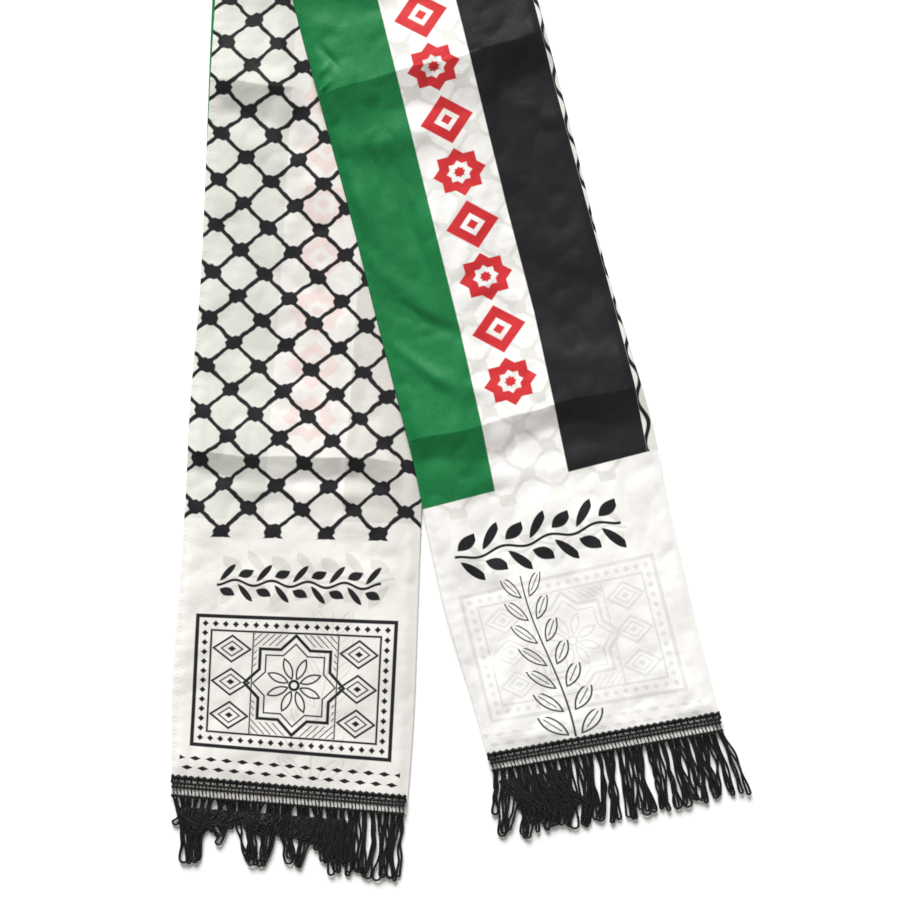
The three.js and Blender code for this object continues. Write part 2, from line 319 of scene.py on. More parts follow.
@dataclass(frozen=True)
class Leg:
    """One hanging end of the scarf, from the turn down to its braid."""

    name: str
    lean: float
    shows: Side
    outline: tuple[OutlineRow, ...]
    creases: tuple[PackingCrease, ...]
    folds: tuple[Fold, ...]
    braid_top: float
    bunches: tuple[Bunch, ...]
    cover: float = BRAID_COVER

    @property
    def start(self) -> float:
        """Station where the leg leaves the turn."""
        return TURN_REACH / math.cos(TURN_SKEW)

    @property
    def end(self) -> float:
        """Station of the cloth's hem, under the braid."""
        return self.braid_top + self.cover

    @property
    def extra_cover(self) -> float:
        """How much further than usual the cloth goes under the braid."""
        return self.cover - BRAID_COVER

    def edge(self, edge: Edge, along: np.ndarray) -> np.ndarray:
        """One edge of the leg, on a smooth curve through its outline.

        Args:
            edge: Which of its two edges.
            along: Stations to read it at.

        Returns:
            The edge's distance from the centre line.
        """
        stations = np.array([row.along for row in self.outline])
        values = np.array([getattr(row, edge.value) for row in self.outline])
        slopes = np.gradient(values, stations)
        i = np.clip(np.searchsorted(stations, along) - 1, 0, len(stations) - 2)
        span = stations[i + 1] - stations[i]
        t = (along - stations[i]) / span
        rise = values[i + 1] - values[i]
        bend = (slopes[i] * span - rise) * (1 - t) + (rise - slopes[i + 1] * span) * t
        return values[i] + rise * t + bend * t * (1 - t)

    def slant(self, along: np.ndarray) -> np.ndarray:
        """How far a row across the leg runs down for each millimetre to the right."""
        return np.interp(along, [r.along for r in self.outline], [r.slant for r in self.outline])

    def place(self, along: np.ndarray, across: np.ndarray) -> tuple[np.ndarray, np.ndarray]:
        """The place on the surface of a point of the leg.

        Args:
            along: Distance down the centre line.
            across: Distance right of it.

        Returns:
            The x and y of the place.
        """
        sin, cos = math.sin(self.lean), math.cos(self.lean)
        x = TURN_MIDDLE[0] + sin * along + cos * across
        y = TURN_MIDDLE[1] - cos * along + sin * across
        return x, y

    def across_of(self, x: np.ndarray, y: np.ndarray) -> np.ndarray:
        """How far right of the centre line a place lies."""
        return (x - TURN_MIDDLE[0]) * math.cos(self.lean) + (y - TURN_MIDDLE[1]) * math.sin(self.lean)

    def crease_height(self, along: np.ndarray, across: np.ndarray) -> np.ndarray:
        """The height of its packing creases at each point."""
        return sum(crease.relief(along, across) for crease in self.creases)

    def fold_height(self, along: np.ndarray, across: np.ndarray) -> np.ndarray:
        """The height of its soft folds at each point."""
        return sum(fold.relief(along, across) for fold in self.folds)


LEFT_LEG = Leg(
    name="left_leg",
    lean=LEFT_LEAN,
    shows=Side.NET,
    outline=(
        OutlineRow(0, -67.7, 69.5, -math.tan(TURN_SKEW)),
        OutlineRow(60, -67.7, 69.5, -math.tan(TURN_SKEW)),
        OutlineRow(190, -67.7, 69.5, -0.030),
        OutlineRow(284, -66.5, 69.3, 0.000),
        OutlineRow(330, -66.4, 69.2, 0.000),
        OutlineRow(408, -68.9, 69.0, 0.000),
        OutlineRow(464, -68.8, 69.3, -0.024),
        OutlineRow(490, -69.3, 69.6, -0.028),
        OutlineRow(531, -70.4, 70.2, -0.010),
        OutlineRow(571, -71.1, 70.7, 0.015),
        OutlineRow(617, -69.0, 70.0, 0.038),
        OutlineRow(645, -68.6, 69.0, 0.038),
    ),
    creases=(
        PackingCrease(215.5, 0.010, 4.0, 46, 24),
        PackingCrease(430.5, 0.000, 3.6, 50, 15),
    ),
    folds=(
        Fold(451, 0, 170, 90, 5.0, 0.8),
        Fold(255, -30, 80, 62, 8.0, 0.8),
        Fold(300, -40, 120, 8, 10.0, 0.9),
        Fold(330, -10, 60, 70, 7.0, -0.8),
        Fold(350, 20, 90, -12, 9.0, 0.8),
        Fold(385, -35, 70, 80, 8.0, 0.7),
        Fold(480, 30, 60, 72, 8.0, -0.6),
        Fold(560, -30, 110, 4, 14.0, 1.0),
        Fold(545, 40, 90, -6, 12.0, 0.9),
        Fold(600, 10, 90, 84, 7.0, 0.6),
        Fold(400, 25.4, 190, 0, 2.5, 0.4),
        Fold(330, -22, 150, 2, 2.5, 0.3),
    ),
    braid_top=621.7,
    bunches=(
        Bunch(-67.5, -42, -60, -49, 38, 22, 0.15),
        Bunch(-42, -30, -42, -36, 27, 17, 0.75),
        Bunch(-30, -4, -22.5, -11.5, 36, 19, 0.3),
        Bunch(-4, 11, 1.5, 9, 34.5, 20, 0.5),
        Bunch(11, 17, 14, 20, 25, 22, 0.3),
        Bunch(17, 22, 20.5, 25, 31, 26, 0.2),
        Bunch(22, 38, 27, 39, 38, 32, 0.15),
        Bunch(38, 49, 39.5, 48.5, 38, 0),
        Bunch(49, 58, 49.5, 57.5, 38, 0),
        Bunch(58, 67.5, 58.5, 66.5, 38.5, 0),
    ),
    cover=11.4,
)

RIGHT_LEG = Leg(
    name="right_leg",
    lean=RIGHT_LEAN,
    shows=Side.FLAG,
    outline=(
        OutlineRow(0, -69.0, 69.4, math.tan(TURN_SKEW)),
        OutlineRow(60, -69.0, 69.4, math.tan(TURN_SKEW)),
        OutlineRow(190, -69.0, 69.4, -0.020),
        OutlineRow(279, -67.7, 69.4, 0.000),
        OutlineRow(342, -68.0, 69.0, 0.000),
        OutlineRow(394, -68.0, 71.0, 0.000),
        OutlineRow(440, -68.4, 72.6, 0.000),
        OutlineRow(458, -69.4, 72.0, 0.000),
        OutlineRow(491, -70.9, 69.9, 0.010),
        OutlineRow(527, -71.4, 69.2, 0.040),
        OutlineRow(565, -69.8, 68.4, 0.070),
        OutlineRow(606, -69.0, 68.4, 0.090),
        OutlineRow(635, -68.4, 67.8, 0.090),
    ),
    creases=(
        PackingCrease(207.5, -0.032, 5.0, 40, 27),
        PackingCrease(418.0, 0.012, 4.4, 60, 17),
    ),
    folds=(
        Fold(207, -66, 14, 121, 1.6, 1.5),
        Fold(196.6, -62.5, 14, 121, 1.6, 1.3),
        Fold(189, -57, 15, 26, 2.0, -1.6),
        Fold(172, -52, 22, 60, 5.0, 0.9),
        Fold(163, -40, 70, 84, 7.0, -0.9),
        Fold(243, -42, 70, 86, 9.0, 2.3),
        Fold(262, -46, 46, 10, 5.5, -1.5),
        Fold(281, -36, 74, 4, 4.0, -2.0),
        Fold(283, -58, 46, 10, 5.0, 1.7),
        Fold(300, -22, 60, -12, 5.0, 1.3),
        Fold(326, -52, 50, 34, 6.0, 1.4),
        Fold(345, 8, 40, 30, 6.0, 0.8),
        Fold(352, -40, 46, 52, 4.0, -1.4),
        Fold(376, -50, 44, 38, 3.5, 1.3),
        Fold(392, -30, 60, 60, 6.0, 1.2),
        Fold(300, 45, 110, -5, 8.0, 0.9),
        Fold(250, 52, 60, 50, 6.0, 0.8),
        Fold(350, 50, 60, 60, 7.0, -0.8),
        Fold(395, 45, 70, 78, 8.0, 0.8),
        Fold(452, 10, 120, 88, 6.0, 0.7),
        Fold(500, -40, 70, 40, 8.0, 0.7),
        Fold(520, 20, 110, 6, 13.0, 0.9),
        Fold(560, -35, 90, -8, 11.0, 0.8),
        Fold(575, 45, 70, 20, 9.0, 0.7),
    ),
    braid_top=611.5,
    bunches=(
        Bunch(-67.5, -57, -76, -68, 37, 24, 0.1),
        Bunch(-57, -49, -66, -56, 41, 32, 0.1),
        Bunch(-49, -40, -53, -44, 38, 33, 0.3),
        Bunch(-40, -28, -46, -36, 36, 28, 0.2),
        Bunch(-28, -14, -34.5, -20.5, 38, 0),
        Bunch(-14, 0, -19.5, -5.5, 38, 0),
        Bunch(0, 13, -4.5, 9.5, 38, 0),
        Bunch(13, 25, 10.5, 23.5, 37.5, 0),
        Bunch(25, 38, 24.5, 37.5, 37.5, 0),
        Bunch(38, 51, 38.5, 51, 36.5, 0),
        Bunch(51, 65, 52, 65, 35, 0),
        Bunch(65, 67.5, 70, 74, 37, 0),
    ),
)

STRIPES = (
    StripeRow(0, -20.6, 23.6, 67.2),
    StripeRow(170, -21.0, 23.0, 66.9),
    StripeRow(240, -21.4, 22.4, 66.6),
    StripeRow(300, -22.0, 21.8, 67.3),
    StripeRow(362, -22.4, 22.0, 68.2),
    StripeRow(418, -24.0, 19.8, 68.2),
    StripeRow(457, -26.0, 18.1, 65.7),
    StripeRow(640, -26.0, 18.1, 66.0),
)


@dataclass(frozen=True)
class Grid:
    """A stretch of the tube as rows of points round it, each row's last point on its first."""

    points: np.ndarray
    around: np.ndarray
    run: np.ndarray

    def reversed(self) -> Grid:
        """The same stretch with its rows in the other order."""
        return Grid(self.points[::-1], self.around[::-1], self.run[::-1])


@dataclass(frozen=True)
class ScarfCloth:
    """The satin tube: both legs and the turn between them, as one continuous skin."""

    row_step: float = 1.7
    crease_step: float = 0.5
    crease_zone: float = 5.0
    crease_gap: float = 0.6
    arc_rows: int = 14
    flat_columns: int = 84
    edge_columns: int = 5
    edge_thin: float = 0.45
    edge_ease: float = 8.0
    hem_taper: float = 3.0
    hem_thickness: float = 1.7
    flag_share: float = 1.35
    broad_wave: float = 0.8
    broad_spot: tuple[float, float] = (34.0, 27.0)
    crumple: float = 0.7
    crumple_spot: tuple[float, float] = (17.0, 13.0)
    crumple_slant: float = 60.0
    fine_crumple: float = 0.16
    fine_spot: tuple[float, float] = (7.0, 8.0)
    fine_slant: float = 21.0
    fold_ease: float = 5.0
    crease_ease: float = 9.0
    crease_at_edge: float = 0.6
    deepest: float = -0.7
    clear_of_upper: tuple[float, float] = (3.0, 14.0)
    thin_from_turn: float = 25.0
    calm_at_braid: tuple[float, float] = (BRAID_COVER - 2.0, BRAID_COVER + 10.0)
    slip_stations: tuple[float, ...] = (165, 244, 300, 475)
    slips: tuple[float, ...] = (4.4, 3.8, 3.4, 0.0)

    def section(self) -> tuple[np.ndarray, np.ndarray, np.ndarray]:
        """One ring round the flat tube, along its flag side and back along its net side.

        Returns:
            The share of the width from left to right, the inset at the rounded edges, and the
            height from 0 on the flag side to 1 on the net side.
        """
        radius = CLOTH_THICKNESS / 2
        quarter = np.linspace(0, math.pi / 2, self.edge_columns + 1)
        flat = np.linspace(0, 1, self.flat_columns + 1)[1:-1]
        inset = radius * (1 - np.cos(quarter))
        drop = 0.5 - 0.5 * np.sin(quarter)
        left = np.stack([0 * quarter, inset, drop])
        middle = np.stack([flat, radius * (1 - 2 * flat), 0 * flat])
        right = np.stack([1 + 0 * quarter, -inset, drop])[:, ::-1]
        flag_side = np.concatenate([left, middle, right], axis=1)
        net_side = flag_side[:, ::-1] * np.array([[1], [1], [-1]]) + np.array([[0], [0], [1]])
        ring = np.concatenate([flag_side, net_side[:, 1:]], axis=1)
        return ring[0], ring[1], ring[2]

    def ripple(self, leg: Leg, along: np.ndarray, across: np.ndarray) -> np.ndarray:
        """The soft waves and crumples that the satin keeps after unfolding.

        Args:
            leg: The leg it lies on.
            along: Station of each point.
            across: Distance of each point right of the centre line.

        Returns:
            Their height at each point.
        """
        seed, share = (3, 1.0) if leg.shows is Side.NET else (8, self.flag_share)
        broad = chance(seed, along / self.broad_spot[0], across / self.broad_spot[1])
        down = along / self.crumple_spot[0] + across / self.crumple_slant
        crumple = np.abs(chance(seed + 1, down, across / self.crumple_spot[1]))
        right = across / self.fine_spot[1] + along / self.fine_slant
        fine = np.abs(chance(seed + 2, along / self.fine_spot[0], right))
        waves = self.broad_wave * broad + self.crumple * crumple + self.fine_crumple * fine
        return waves * share

    def stations(self, leg: Leg) -> np.ndarray:
        """The stations of a leg's rows, closer together at its packing creases.

        Args:
            leg: The leg.

        Returns:
            Its stations in order.
        """
        count = int((leg.end - leg.start) / self.row_step)
        even = np.linspace(leg.start, leg.end, count + 1)
        steps = round(2 * self.crease_zone / self.crease_step)
        close = np.linspace(-self.crease_zone, self.crease_zone, steps + 1)
        rows = [crease.along + close for crease in leg.creases]
        for crease in leg.creases:
            even = even[np.abs(even - crease.along) > self.crease_zone + self.crease_gap]
        return np.sort(np.concatenate([even, *rows]))

    def leg_grid(self, leg: Leg) -> Grid:
        """Lays out one leg.

        Args:
            leg: The leg, which shows its own side and lies over or under the other.

        Returns:
            Its grid from the turn down to the hem, with its run counted from the turn.
        """
        share, inset, level = self.section()
        station = self.stations(leg)[:, None]
        first = leg.edge(Edge.LEFT, station) * (1 - share) + leg.edge(Edge.RIGHT, station) * share
        along = station + leg.slant(station) * first
        left, right = leg.edge(Edge.LEFT, along), leg.edge(Edge.RIGHT, along)
        across = left * (1 - share) + right * share + inset
        x, y = leg.place(along, across)
        up = level if leg.shows is Side.NET else 1 - level
        room = np.minimum(across - left, right - across)
        at_edge = self.crease_at_edge
        creases = leg.crease_height(along, across)
        creases = creases * (at_edge + (1 - at_edge) * smooth(0.0, self.crease_ease, room))
        folds = leg.fold_height(along, across) + self.ripple(leg, along, across)
        relief = creases + folds * smooth(0.0, self.fold_ease, room)
        base = 0.0
        if leg.shows is Side.NET:
            relief = relief * smooth(*self.clear_of_upper, -STACK_EDGE - RIGHT_LEG.across_of(x, y))
        else:
            beside = LEFT_LEG.across_of(x, y) - STACK_EDGE
            base = STACK_STEP * (1 - smooth(*STACK_FALL, beside))
        to_hem = leg.end - station
        relief = relief * smooth(*self.calm_at_braid, to_hem)
        thickness = self.thickness(room, station - leg.start, to_hem)
        z = base + thickness * up + np.maximum(relief, self.deepest) * smooth(0.5, 1.0, up)
        points = np.stack([x, y, z], -1)
        return Grid(points, self.print_around(leg, station[:, 0], across), station[:, 0] - leg.start)

    def thickness(self, room: np.ndarray, from_turn: np.ndarray, to_hem: np.ndarray) -> np.ndarray:
        """How thick the flat tube is, which thins to its side edges and its hem.

        Args:
            room: Distance of each point from the nearer side edge.
            from_turn: Distance of each row from the turn.
            to_hem: Distance of each row from the hem.

        Returns:
            The thickness at each point.
        """
        at_hem = smooth(self.hem_taper, 0, to_hem)
        full = CLOTH_THICKNESS + (self.hem_thickness - CLOTH_THICKNESS) * at_hem
        at_edge = (1 - smooth(0.0, self.edge_ease, room)) * smooth(0.0, self.thin_from_turn, from_turn)
        return full * (1 - (1 - self.edge_thin) * at_edge)

    def turn_grid(self, left_print: np.ndarray, right_print: np.ndarray) -> Grid:
        """Lays out the turn, from the left leg's first row round to the right leg's.

        Args:
            left_print: The print's place round the left leg's first row.
            right_print: The print's place round the right leg's first row.

        Returns:
            Its grid, with its run counted from the left leg.
        """
        share, inset, level = self.section()
        outer = TURN_INNER_RADIUS + CLOTH_THICKNESS
        steps = int(TURN_REACH / self.row_step)
        flat = np.linspace(0, TURN_REACH, steps + 1)
        arc = np.zeros(self.arc_rows - 1)
        back = np.concatenate([flat[::-1], arc, flat])[:, None]
        bent = np.linspace(-1, 1, self.arc_rows + 1)[1:-1]
        side = np.concatenate([-1 + 0 * flat, bent, 1 + 0 * flat])[:, None]
        radius = outer - CLOTH_THICKNESS * level
        angle = side * math.pi / 2
        settle = TURN_SETTLE * smooth(0, TURN_REACH, back) * (side >= 1)
        z = outer + radius * np.sin(angle) - settle
        out = radius * np.cos(angle) - back
        blend = (side + 1) / 2
        lower, upper = LEFT_LEG.outline[0], RIGHT_LEG.outline[0]
        left = lower.left * (1 - blend) + upper.left * blend
        right = lower.right * (1 - blend) + upper.right * blend
        cut = (left * (1 - share) + right * share + inset) / math.cos(TURN_SKEW)
        across = cut + side * (np.abs(side) >= 1) * math.tan(TURN_SKEW) * back
        x = TURN_MIDDLE[0] + math.cos(TURN_TILT) * across - math.sin(TURN_TILT) * out
        y = TURN_MIDDLE[1] + math.sin(TURN_TILT) * across + math.cos(TURN_TILT) * out
        arc_length = math.pi * (outer - CLOTH_THICKNESS / 2)
        travel = np.where(side <= -1, TURN_REACH - back, TURN_REACH + blend * arc_length + back)
        around = left_print * (1 - blend) + right_print * blend
        return Grid(np.stack([x, y, z], -1), around, travel[:, 0])

    def print_around(self, leg: Leg, station: np.ndarray, across: np.ndarray) -> np.ndarray:
        """The print's own place round the tube, at each point of a leg's grid.

        Args:
            leg: The leg.
            station: Each row's station.
            across: Each point's distance from the leg's centre line.

        Returns:
            Its distance round the print: half a width each side of 0 on the flag side, and
            on round the net side.
        """
        half = across.shape[1] // 2
        if leg.shows is Side.NET:
            seen = PRINT_WIDTH - across[:, half:]
            seen = seen + np.interp(station, self.slip_stations, self.slips)[:, None]
            share = np.linspace(0, 1, half + 1)
            hidden = (seen[:, -1:] - 2 * PRINT_WIDTH) * (1 - share) + seen[:, :1] * share
            return np.concatenate([hidden[:, :-1], seen], axis=1)
        seen = self.stripes_across(station, across[:, : half + 1])
        share = np.linspace(0, 1, across.shape[1] - half)
        hidden = seen[:, -1:] * (1 - share) + (seen[:, :1] + 2 * PRINT_WIDTH) * share
        return np.concatenate([seen, hidden[:, 1:]], axis=1)

    def stripes_across(self, station: np.ndarray, shown: np.ndarray) -> np.ndarray:
        """The print's place across the flag side, from where the stripes' edges lie.

        Args:
            station: Each row's station.
            shown: Each point's distance from the leg's centre line.

        Returns:
            Its distance from the print's middle.
        """
        rows = [row.along for row in STRIPES]
        edges = []
        for column in ("white_left", "white_right", "black_right"):
            edges.append(np.interp(station, rows, [getattr(row, column) for row in STRIPES])[:, None])
        white_left, white_right, black_right = edges
        green = shown - white_left - STRIPE_EDGE
        white = (2 * (shown - white_left) / (white_right - white_left) - 1) * STRIPE_EDGE
        wide = (PRINT_WIDTH / 2 - STRIPE_EDGE) / (black_right - white_right)
        black = STRIPE_EDGE + wide * (shown - white_right)
        return np.where(shown < white_left, green, np.where(shown < white_right, white, black))

    def outward(self, points: np.ndarray) -> np.ndarray:
        """The outward normal at each point of the whole tube.

        Args:
            points: All rows of the tube, from the left hem to the right one.

        Returns:
            A unit normal for each point.
        """
        down = np.gradient(points, axis=0)
        ring = points[:, :-1]
        around = np.roll(ring, -1, axis=1) - np.roll(ring, 1, axis=1)
        around = np.concatenate([around, around[:, :1]], axis=1)
        return unit(np.cross(around, down))

    def mesh_piece(self, name: str, grid: Grid, normals: np.ndarray) -> bpy.types.Object:
        """Makes one stretch of the tube as a mesh, open at both ends.

        Args:
            name: The piece's name.
            grid: Its points and their places on the print.
            normals: The normal at each point.

        Returns:
            The new piece.
        """
        rows, ring = grid.points.shape[0], grid.points.shape[1] - 1
        mesh = bpy.data.meshes.new(name)
        corners = (grid.points[:, :ring] * MM).reshape(-1, 3)
        mesh.from_pydata(corners.tolist(), [], ring_faces(rows, ring).reshape(-1, 4).tolist())
        run = np.repeat(grid.run[:, None], ring + 1, axis=1)
        place = np.stack([grid.around, run], -1) * MM
        upper, lower = place[:-1], place[1:]
        looped = np.stack([upper[:, :-1], upper[:, 1:], lower[:, 1:], lower[:, :-1]], 2)
        mesh.uv_layers.new(name="Print").data.foreach_set("uv", looped.reshape(-1).astype(np.float32))
        mesh.shade_smooth()
        mesh.normals_split_custom_set_from_vertices(normals[:, :ring].reshape(-1, 3).tolist())
        return add_piece(mesh)

    def build(self) -> tuple[list[bpy.types.Object], float]:
        """Makes the tube's three pieces, seamless where they meet.

        Returns:
            The left leg, the turn and the right leg, and the length of the whole cloth.
        """
        left, right = self.leg_grid(LEFT_LEG), self.leg_grid(RIGHT_LEG)
        turn = self.turn_grid(left.around[0], right.around[0])
        turn_length = float(turn.run[-1])
        left_length = float(left.run[-1]) - LEFT_LEG.extra_cover
        left = Grid(left.points, left.around, left_length - left.run).reversed()
        points = np.concatenate([left.points, turn.points[1:-1], right.points])
        around = np.concatenate([left.around, turn.around[1:-1], right.around])
        run = np.concatenate([left.run, left_length + turn.run[1:-1], left_length + turn_length + right.run])
        normals = self.outward(points)
        first = len(left.points)
        last = first + len(turn.points) - 2
        pieces = []
        for name, rows in (
            ("left_leg_cloth", slice(0, first)),
            ("turn_cloth", slice(first - 1, last + 1)),
            ("right_leg_cloth", slice(last, len(points))),
        ):
            stretch = Grid(points[rows], around[rows], run[rows])
            pieces.append(self.mesh_piece(name, stretch, normals[rows]))
        return pieces, float(run[-1])

    def dress(
        self, pieces: list[bpy.types.Object], net_satin: bpy.types.Material, flag_satin: bpy.types.Material
    ) -> None:
        """Gives the three pieces their satin and their places on the frame.

        Args:
            pieces: The left leg, the turn and the right leg.
            net_satin: The finish of the leg that shows its net side.
            flag_satin: The finish of the other two.
        """
        left, turn, right = pieces
        dress_piece(left, net_satin, ("left_leg_flag_side", "left_leg_net_side"))
        dress_piece(turn, flag_satin, ("turn_flag_side", "turn_net_side"))
        dress_piece(right, flag_satin, ("right_leg_flag_side", "right_leg_net_side"))


@dataclass(frozen=True)
class Yarn:
    """A two-ply yarn, whose flattened section turns along it."""

    half_width: float
    half_depth: float
    pitch: float
    sides: int = 8

    def tube(self, path: np.ndarray, phase: float) -> tuple[np.ndarray, np.ndarray]:
        """Sweeps the yarn along a path.

        Args:
            path: Points along its middle.
            phase: How far its section is turned at the start.

        Returns:
            Its points and its four-cornered faces, without its two ends.
        """
        tangent = unit(np.gradient(path, axis=0))
        sideways = unit(np.cross(tangent, np.array([0.0, 0.0, 1.0])))
        upward = np.cross(sideways, tangent)
        walked = np.concatenate([[0], np.cumsum(np.linalg.norm(np.diff(path, axis=0), axis=1))])
        turn = (phase + 2 * math.pi * walked / self.pitch)[:, None]
        angle = np.linspace(0, 2 * math.pi, self.sides, endpoint=False)[None, :]
        wide, deep = self.half_width * np.cos(angle), self.half_depth * np.sin(angle)
        along_side = wide * np.cos(turn) - deep * np.sin(turn)
        along_up = wide * np.sin(turn) + deep * np.cos(turn)
        points = path[:, None] + along_side[..., None] * sideways[:, None]
        points = points + along_up[..., None] * upward[:, None]
        return points.reshape(-1, 3), ring_faces(len(path), self.sides).reshape(-1, 4)


class YarnWork:
    """Collects many yarns into one mesh."""

    def __init__(self) -> None:
        """Starts with no yarn."""
        self.points: list[np.ndarray] = []
        self.faces: list[list[int]] = []
        self.count = 0

    def add(self, yarn: Yarn, path: np.ndarray, phase: float = 0.0) -> None:
        """Adds one yarn, closed at both ends.

        Args:
            yarn: The yarn.
            path: Points along its middle.
            phase: How far its section is turned at the start.
        """
        points, faces = yarn.tube(path, phase)
        start_ring = list(range(yarn.sides - 1, -1, -1))
        end_ring = list(range(len(points) - yarn.sides, len(points)))
        self.faces.extend((faces + self.count).tolist())
        self.faces.append([k + self.count for k in start_ring])
        self.faces.append([k + self.count for k in end_ring])
        self.points.append(points)
        self.count += len(points)

    def piece(self, name: str) -> bpy.types.Object:
        """Makes the collected yarns into one smooth piece.

        Args:
            name: The piece's name.

        Returns:
            The new piece.
        """
        mesh = bpy.data.meshes.new(name)
        mesh.from_pydata((np.concatenate(self.points) * MM).tolist(), [], self.faces)
        mesh.shade_smooth()
        return add_piece(mesh)


@dataclass(frozen=True)
class TrimPlace:
    """How the trim of one end lies: its pull, its lift and its height over cloth and surface."""

    leg: Leg
    node: str
    left_stretch: float
    right_stretch: float
    left_lift: float = 0.0
    right_lift: float = 0.0
    bars: int = 64
    chains: tuple[float, float, float] = (4.1, 6.2, 10.9)
    on_cloth: float = 2.45
    on_surface: float = 0.82
    leaves_cloth: tuple[float, float] = (4.5, 14.0)
    lift_fades: tuple[float, float] = (15.0, 40.0)

    @property
    def pitch(self) -> float:
        """Distance between two neighbouring bars of the braid."""
        return 2 * BRAID_HALF_WIDTH / self.bars

    def share(self, across: np.ndarray) -> np.ndarray:
        """The share of the way from the braid's left end to its right one."""
        return (across + BRAID_HALF_WIDTH) / (2 * BRAID_HALF_WIDTH)

    def stretch(self, across: np.ndarray) -> np.ndarray:
        """How much the braid is pulled open downwards, from its left end to its right one."""
        share = self.share(across)
        return self.left_stretch * (1 - share) + self.right_stretch * share

    def lift(self, across: np.ndarray) -> np.ndarray:
        """How far up the cloth the braid is sewn, beyond its straight line."""
        share = np.clip(self.share(across), 0, 1)
        return self.left_lift * (1 - share) + self.right_lift * share

    def lying(self, across: np.ndarray, below: np.ndarray) -> np.ndarray:
        """Height of the yarns where they lie on the cloth, and then beyond its hem."""
        sunk = smooth(*self.leaves_cloth, below - self.lift(across) - self.leg.extra_cover)
        return self.on_cloth - (self.on_cloth - self.on_surface) * sunk

    def path(self, across: np.ndarray, below: np.ndarray, height: np.ndarray) -> np.ndarray:
        """Points of a yarn, from its place on the end.

        Args:
            across: Distance right of the leg's centre line.
            below: Distance below the braid's upper edge.
            height: Height above the surface.

        Returns:
            Its points.
        """
        across, below, height = np.broadcast_arrays(across, below, height)
        top = self.leg.braid_top + self.leg.slant(np.array([self.leg.braid_top]))[0] * across
        lift = self.lift(across) * (1 - smooth(*self.lift_fades, below))
        x, y = self.leg.place(top - lift + below, across)
        return np.stack([x, y, height], -1)

    def dress(self, piece: bpy.types.Object, finish: bpy.types.Material) -> bpy.types.Object:
        """Gives a piece of the trim its finish, and the place of the frame's fringe."""
        return dress_piece(piece, finish, (self.node,))


@dataclass(frozen=True)
class Braid:
    """The crocheted braid across one end: a scalloped cord, three chains and their bars."""

    place: TrimPlace
    scallops: int = 36
    samples: int = 12
    cord: Yarn = Yarn(0.95, 0.6, 2.1)
    cord_dip: float = 1.1
    cord_swing: float = 0.5
    cord_rise: float = 0.15
    cord_weave: float = 0.3
    chain: Yarn = Yarn(0.62, 0.36, 1.6)
    chain_swing: float = 0.32
    chain_rise: float = 0.2
    chain_weave: float = 0.22
    pillar: Yarn = Yarn(0.72, 0.4, 2.2)
    pillar_from: float = 0.9
    pillar_lean: float = 0.45
    pillar_points: int = 5
    short_bar: Yarn = Yarn(0.68, 0.28, 1.5, sides=6)
    long_bar: Yarn = Yarn(0.62, 0.28, 1.5, sides=6)
    bar_start: float = -0.35
    bar_lean: float = 0.17
    short_points: int = 4
    long_points: int = 7

    def build(self, finish: bpy.types.Material) -> bpy.types.Object:
        """Makes the braid and dresses it.

        Args:
            finish: Its material.

        Returns:
            The new piece.
        """
        work = YarnWork()
        scallop = 2 * BRAID_HALF_WIDTH / self.scallops
        across = np.linspace(-BRAID_HALF_WIDTH, BRAID_HALF_WIDTH, self.scallops * self.samples + 1)
        self.add_cord(work, across, 2 * math.pi * across / scallop)
        self.add_chains(work, across, math.pi * across / self.place.pitch)
        upper, middle, lower = self.place.chains
        for k in range(self.scallops + 1):
            foot = -BRAID_HALF_WIDTH + k * scallop
            down = np.linspace(self.pillar_from, upper, self.pillar_points)
            leant = self.pillar_lean * (down - self.pillar_from) / (upper - self.pillar_from)
            for side in (-1, 1):
                self.add_bar(work, self.pillar, foot, foot + side * leant, down, k)
        for k in range(self.place.bars):
            foot = -BRAID_HALF_WIDTH + (k + 0.5) * self.place.pitch
            short = np.linspace(upper, middle, self.short_points)
            long = np.linspace(middle, lower, self.long_points)
            leant = self.bar_lean * (long - middle) + self.bar_start
            self.add_bar(work, self.short_bar, foot, foot + 0 * short, short, k)
            self.add_bar(work, self.long_bar, foot, foot + leant, long, k)
        return self.place.dress(work.piece(f"{self.place.leg.name}_braid"), finish)

    def add_cord(self, work: YarnWork, across: np.ndarray, wave: np.ndarray) -> None:
        """Adds the two yarns of the scalloped cord along the braid's upper edge.

        Args:
            work: The braid.
            across: Places across the end.
            wave: The scallops' phase at each place.
        """
        for side in (0.0, math.pi):
            dip = self.cord_dip - self.cord_swing * np.cos(wave) + self.cord_swing * np.cos(2 * wave + side)
            height = self.place.lying(across, dip) + self.cord_rise
            height = height + self.cord_weave * np.sin(2 * wave + side)
            work.add(self.cord, self.place.path(across, dip * self.place.stretch(across), height), side)

    def add_chains(self, work: YarnWork, across: np.ndarray, stitch: np.ndarray) -> None:
        """Adds the two twisted yarns of each chain.

        Args:
            work: The braid.
            across: Places across the end.
            stitch: The stitches' phase at each place.
        """
        for chain in self.place.chains:
            for side in (0.0, math.pi):
                below = chain + self.chain_swing * np.sin(stitch + side)
                height = self.place.lying(across, below) + self.chain_rise
                height = height + self.chain_weave * np.cos(stitch + side)
                path = self.place.path(across, below * self.place.stretch(across), height)
                work.add(self.chain, path, side)

    def add_bar(
        self, work: YarnWork, yarn: Yarn, foot: float, beside: np.ndarray, down: np.ndarray, phase: float
    ) -> None:
        """Adds one upright yarn.

        Args:
            work: The braid.
            yarn: The yarn.
            foot: Where it is sewn, across the end.
            beside: Each point's place across the end.
            down: Each point's distance below the braid's upper edge.
            phase: How far its section is turned at the start.
        """
        path = self.place.path(beside, down * self.place.stretch(foot), self.place.lying(foot, down))
        work.add(yarn, path, phase)


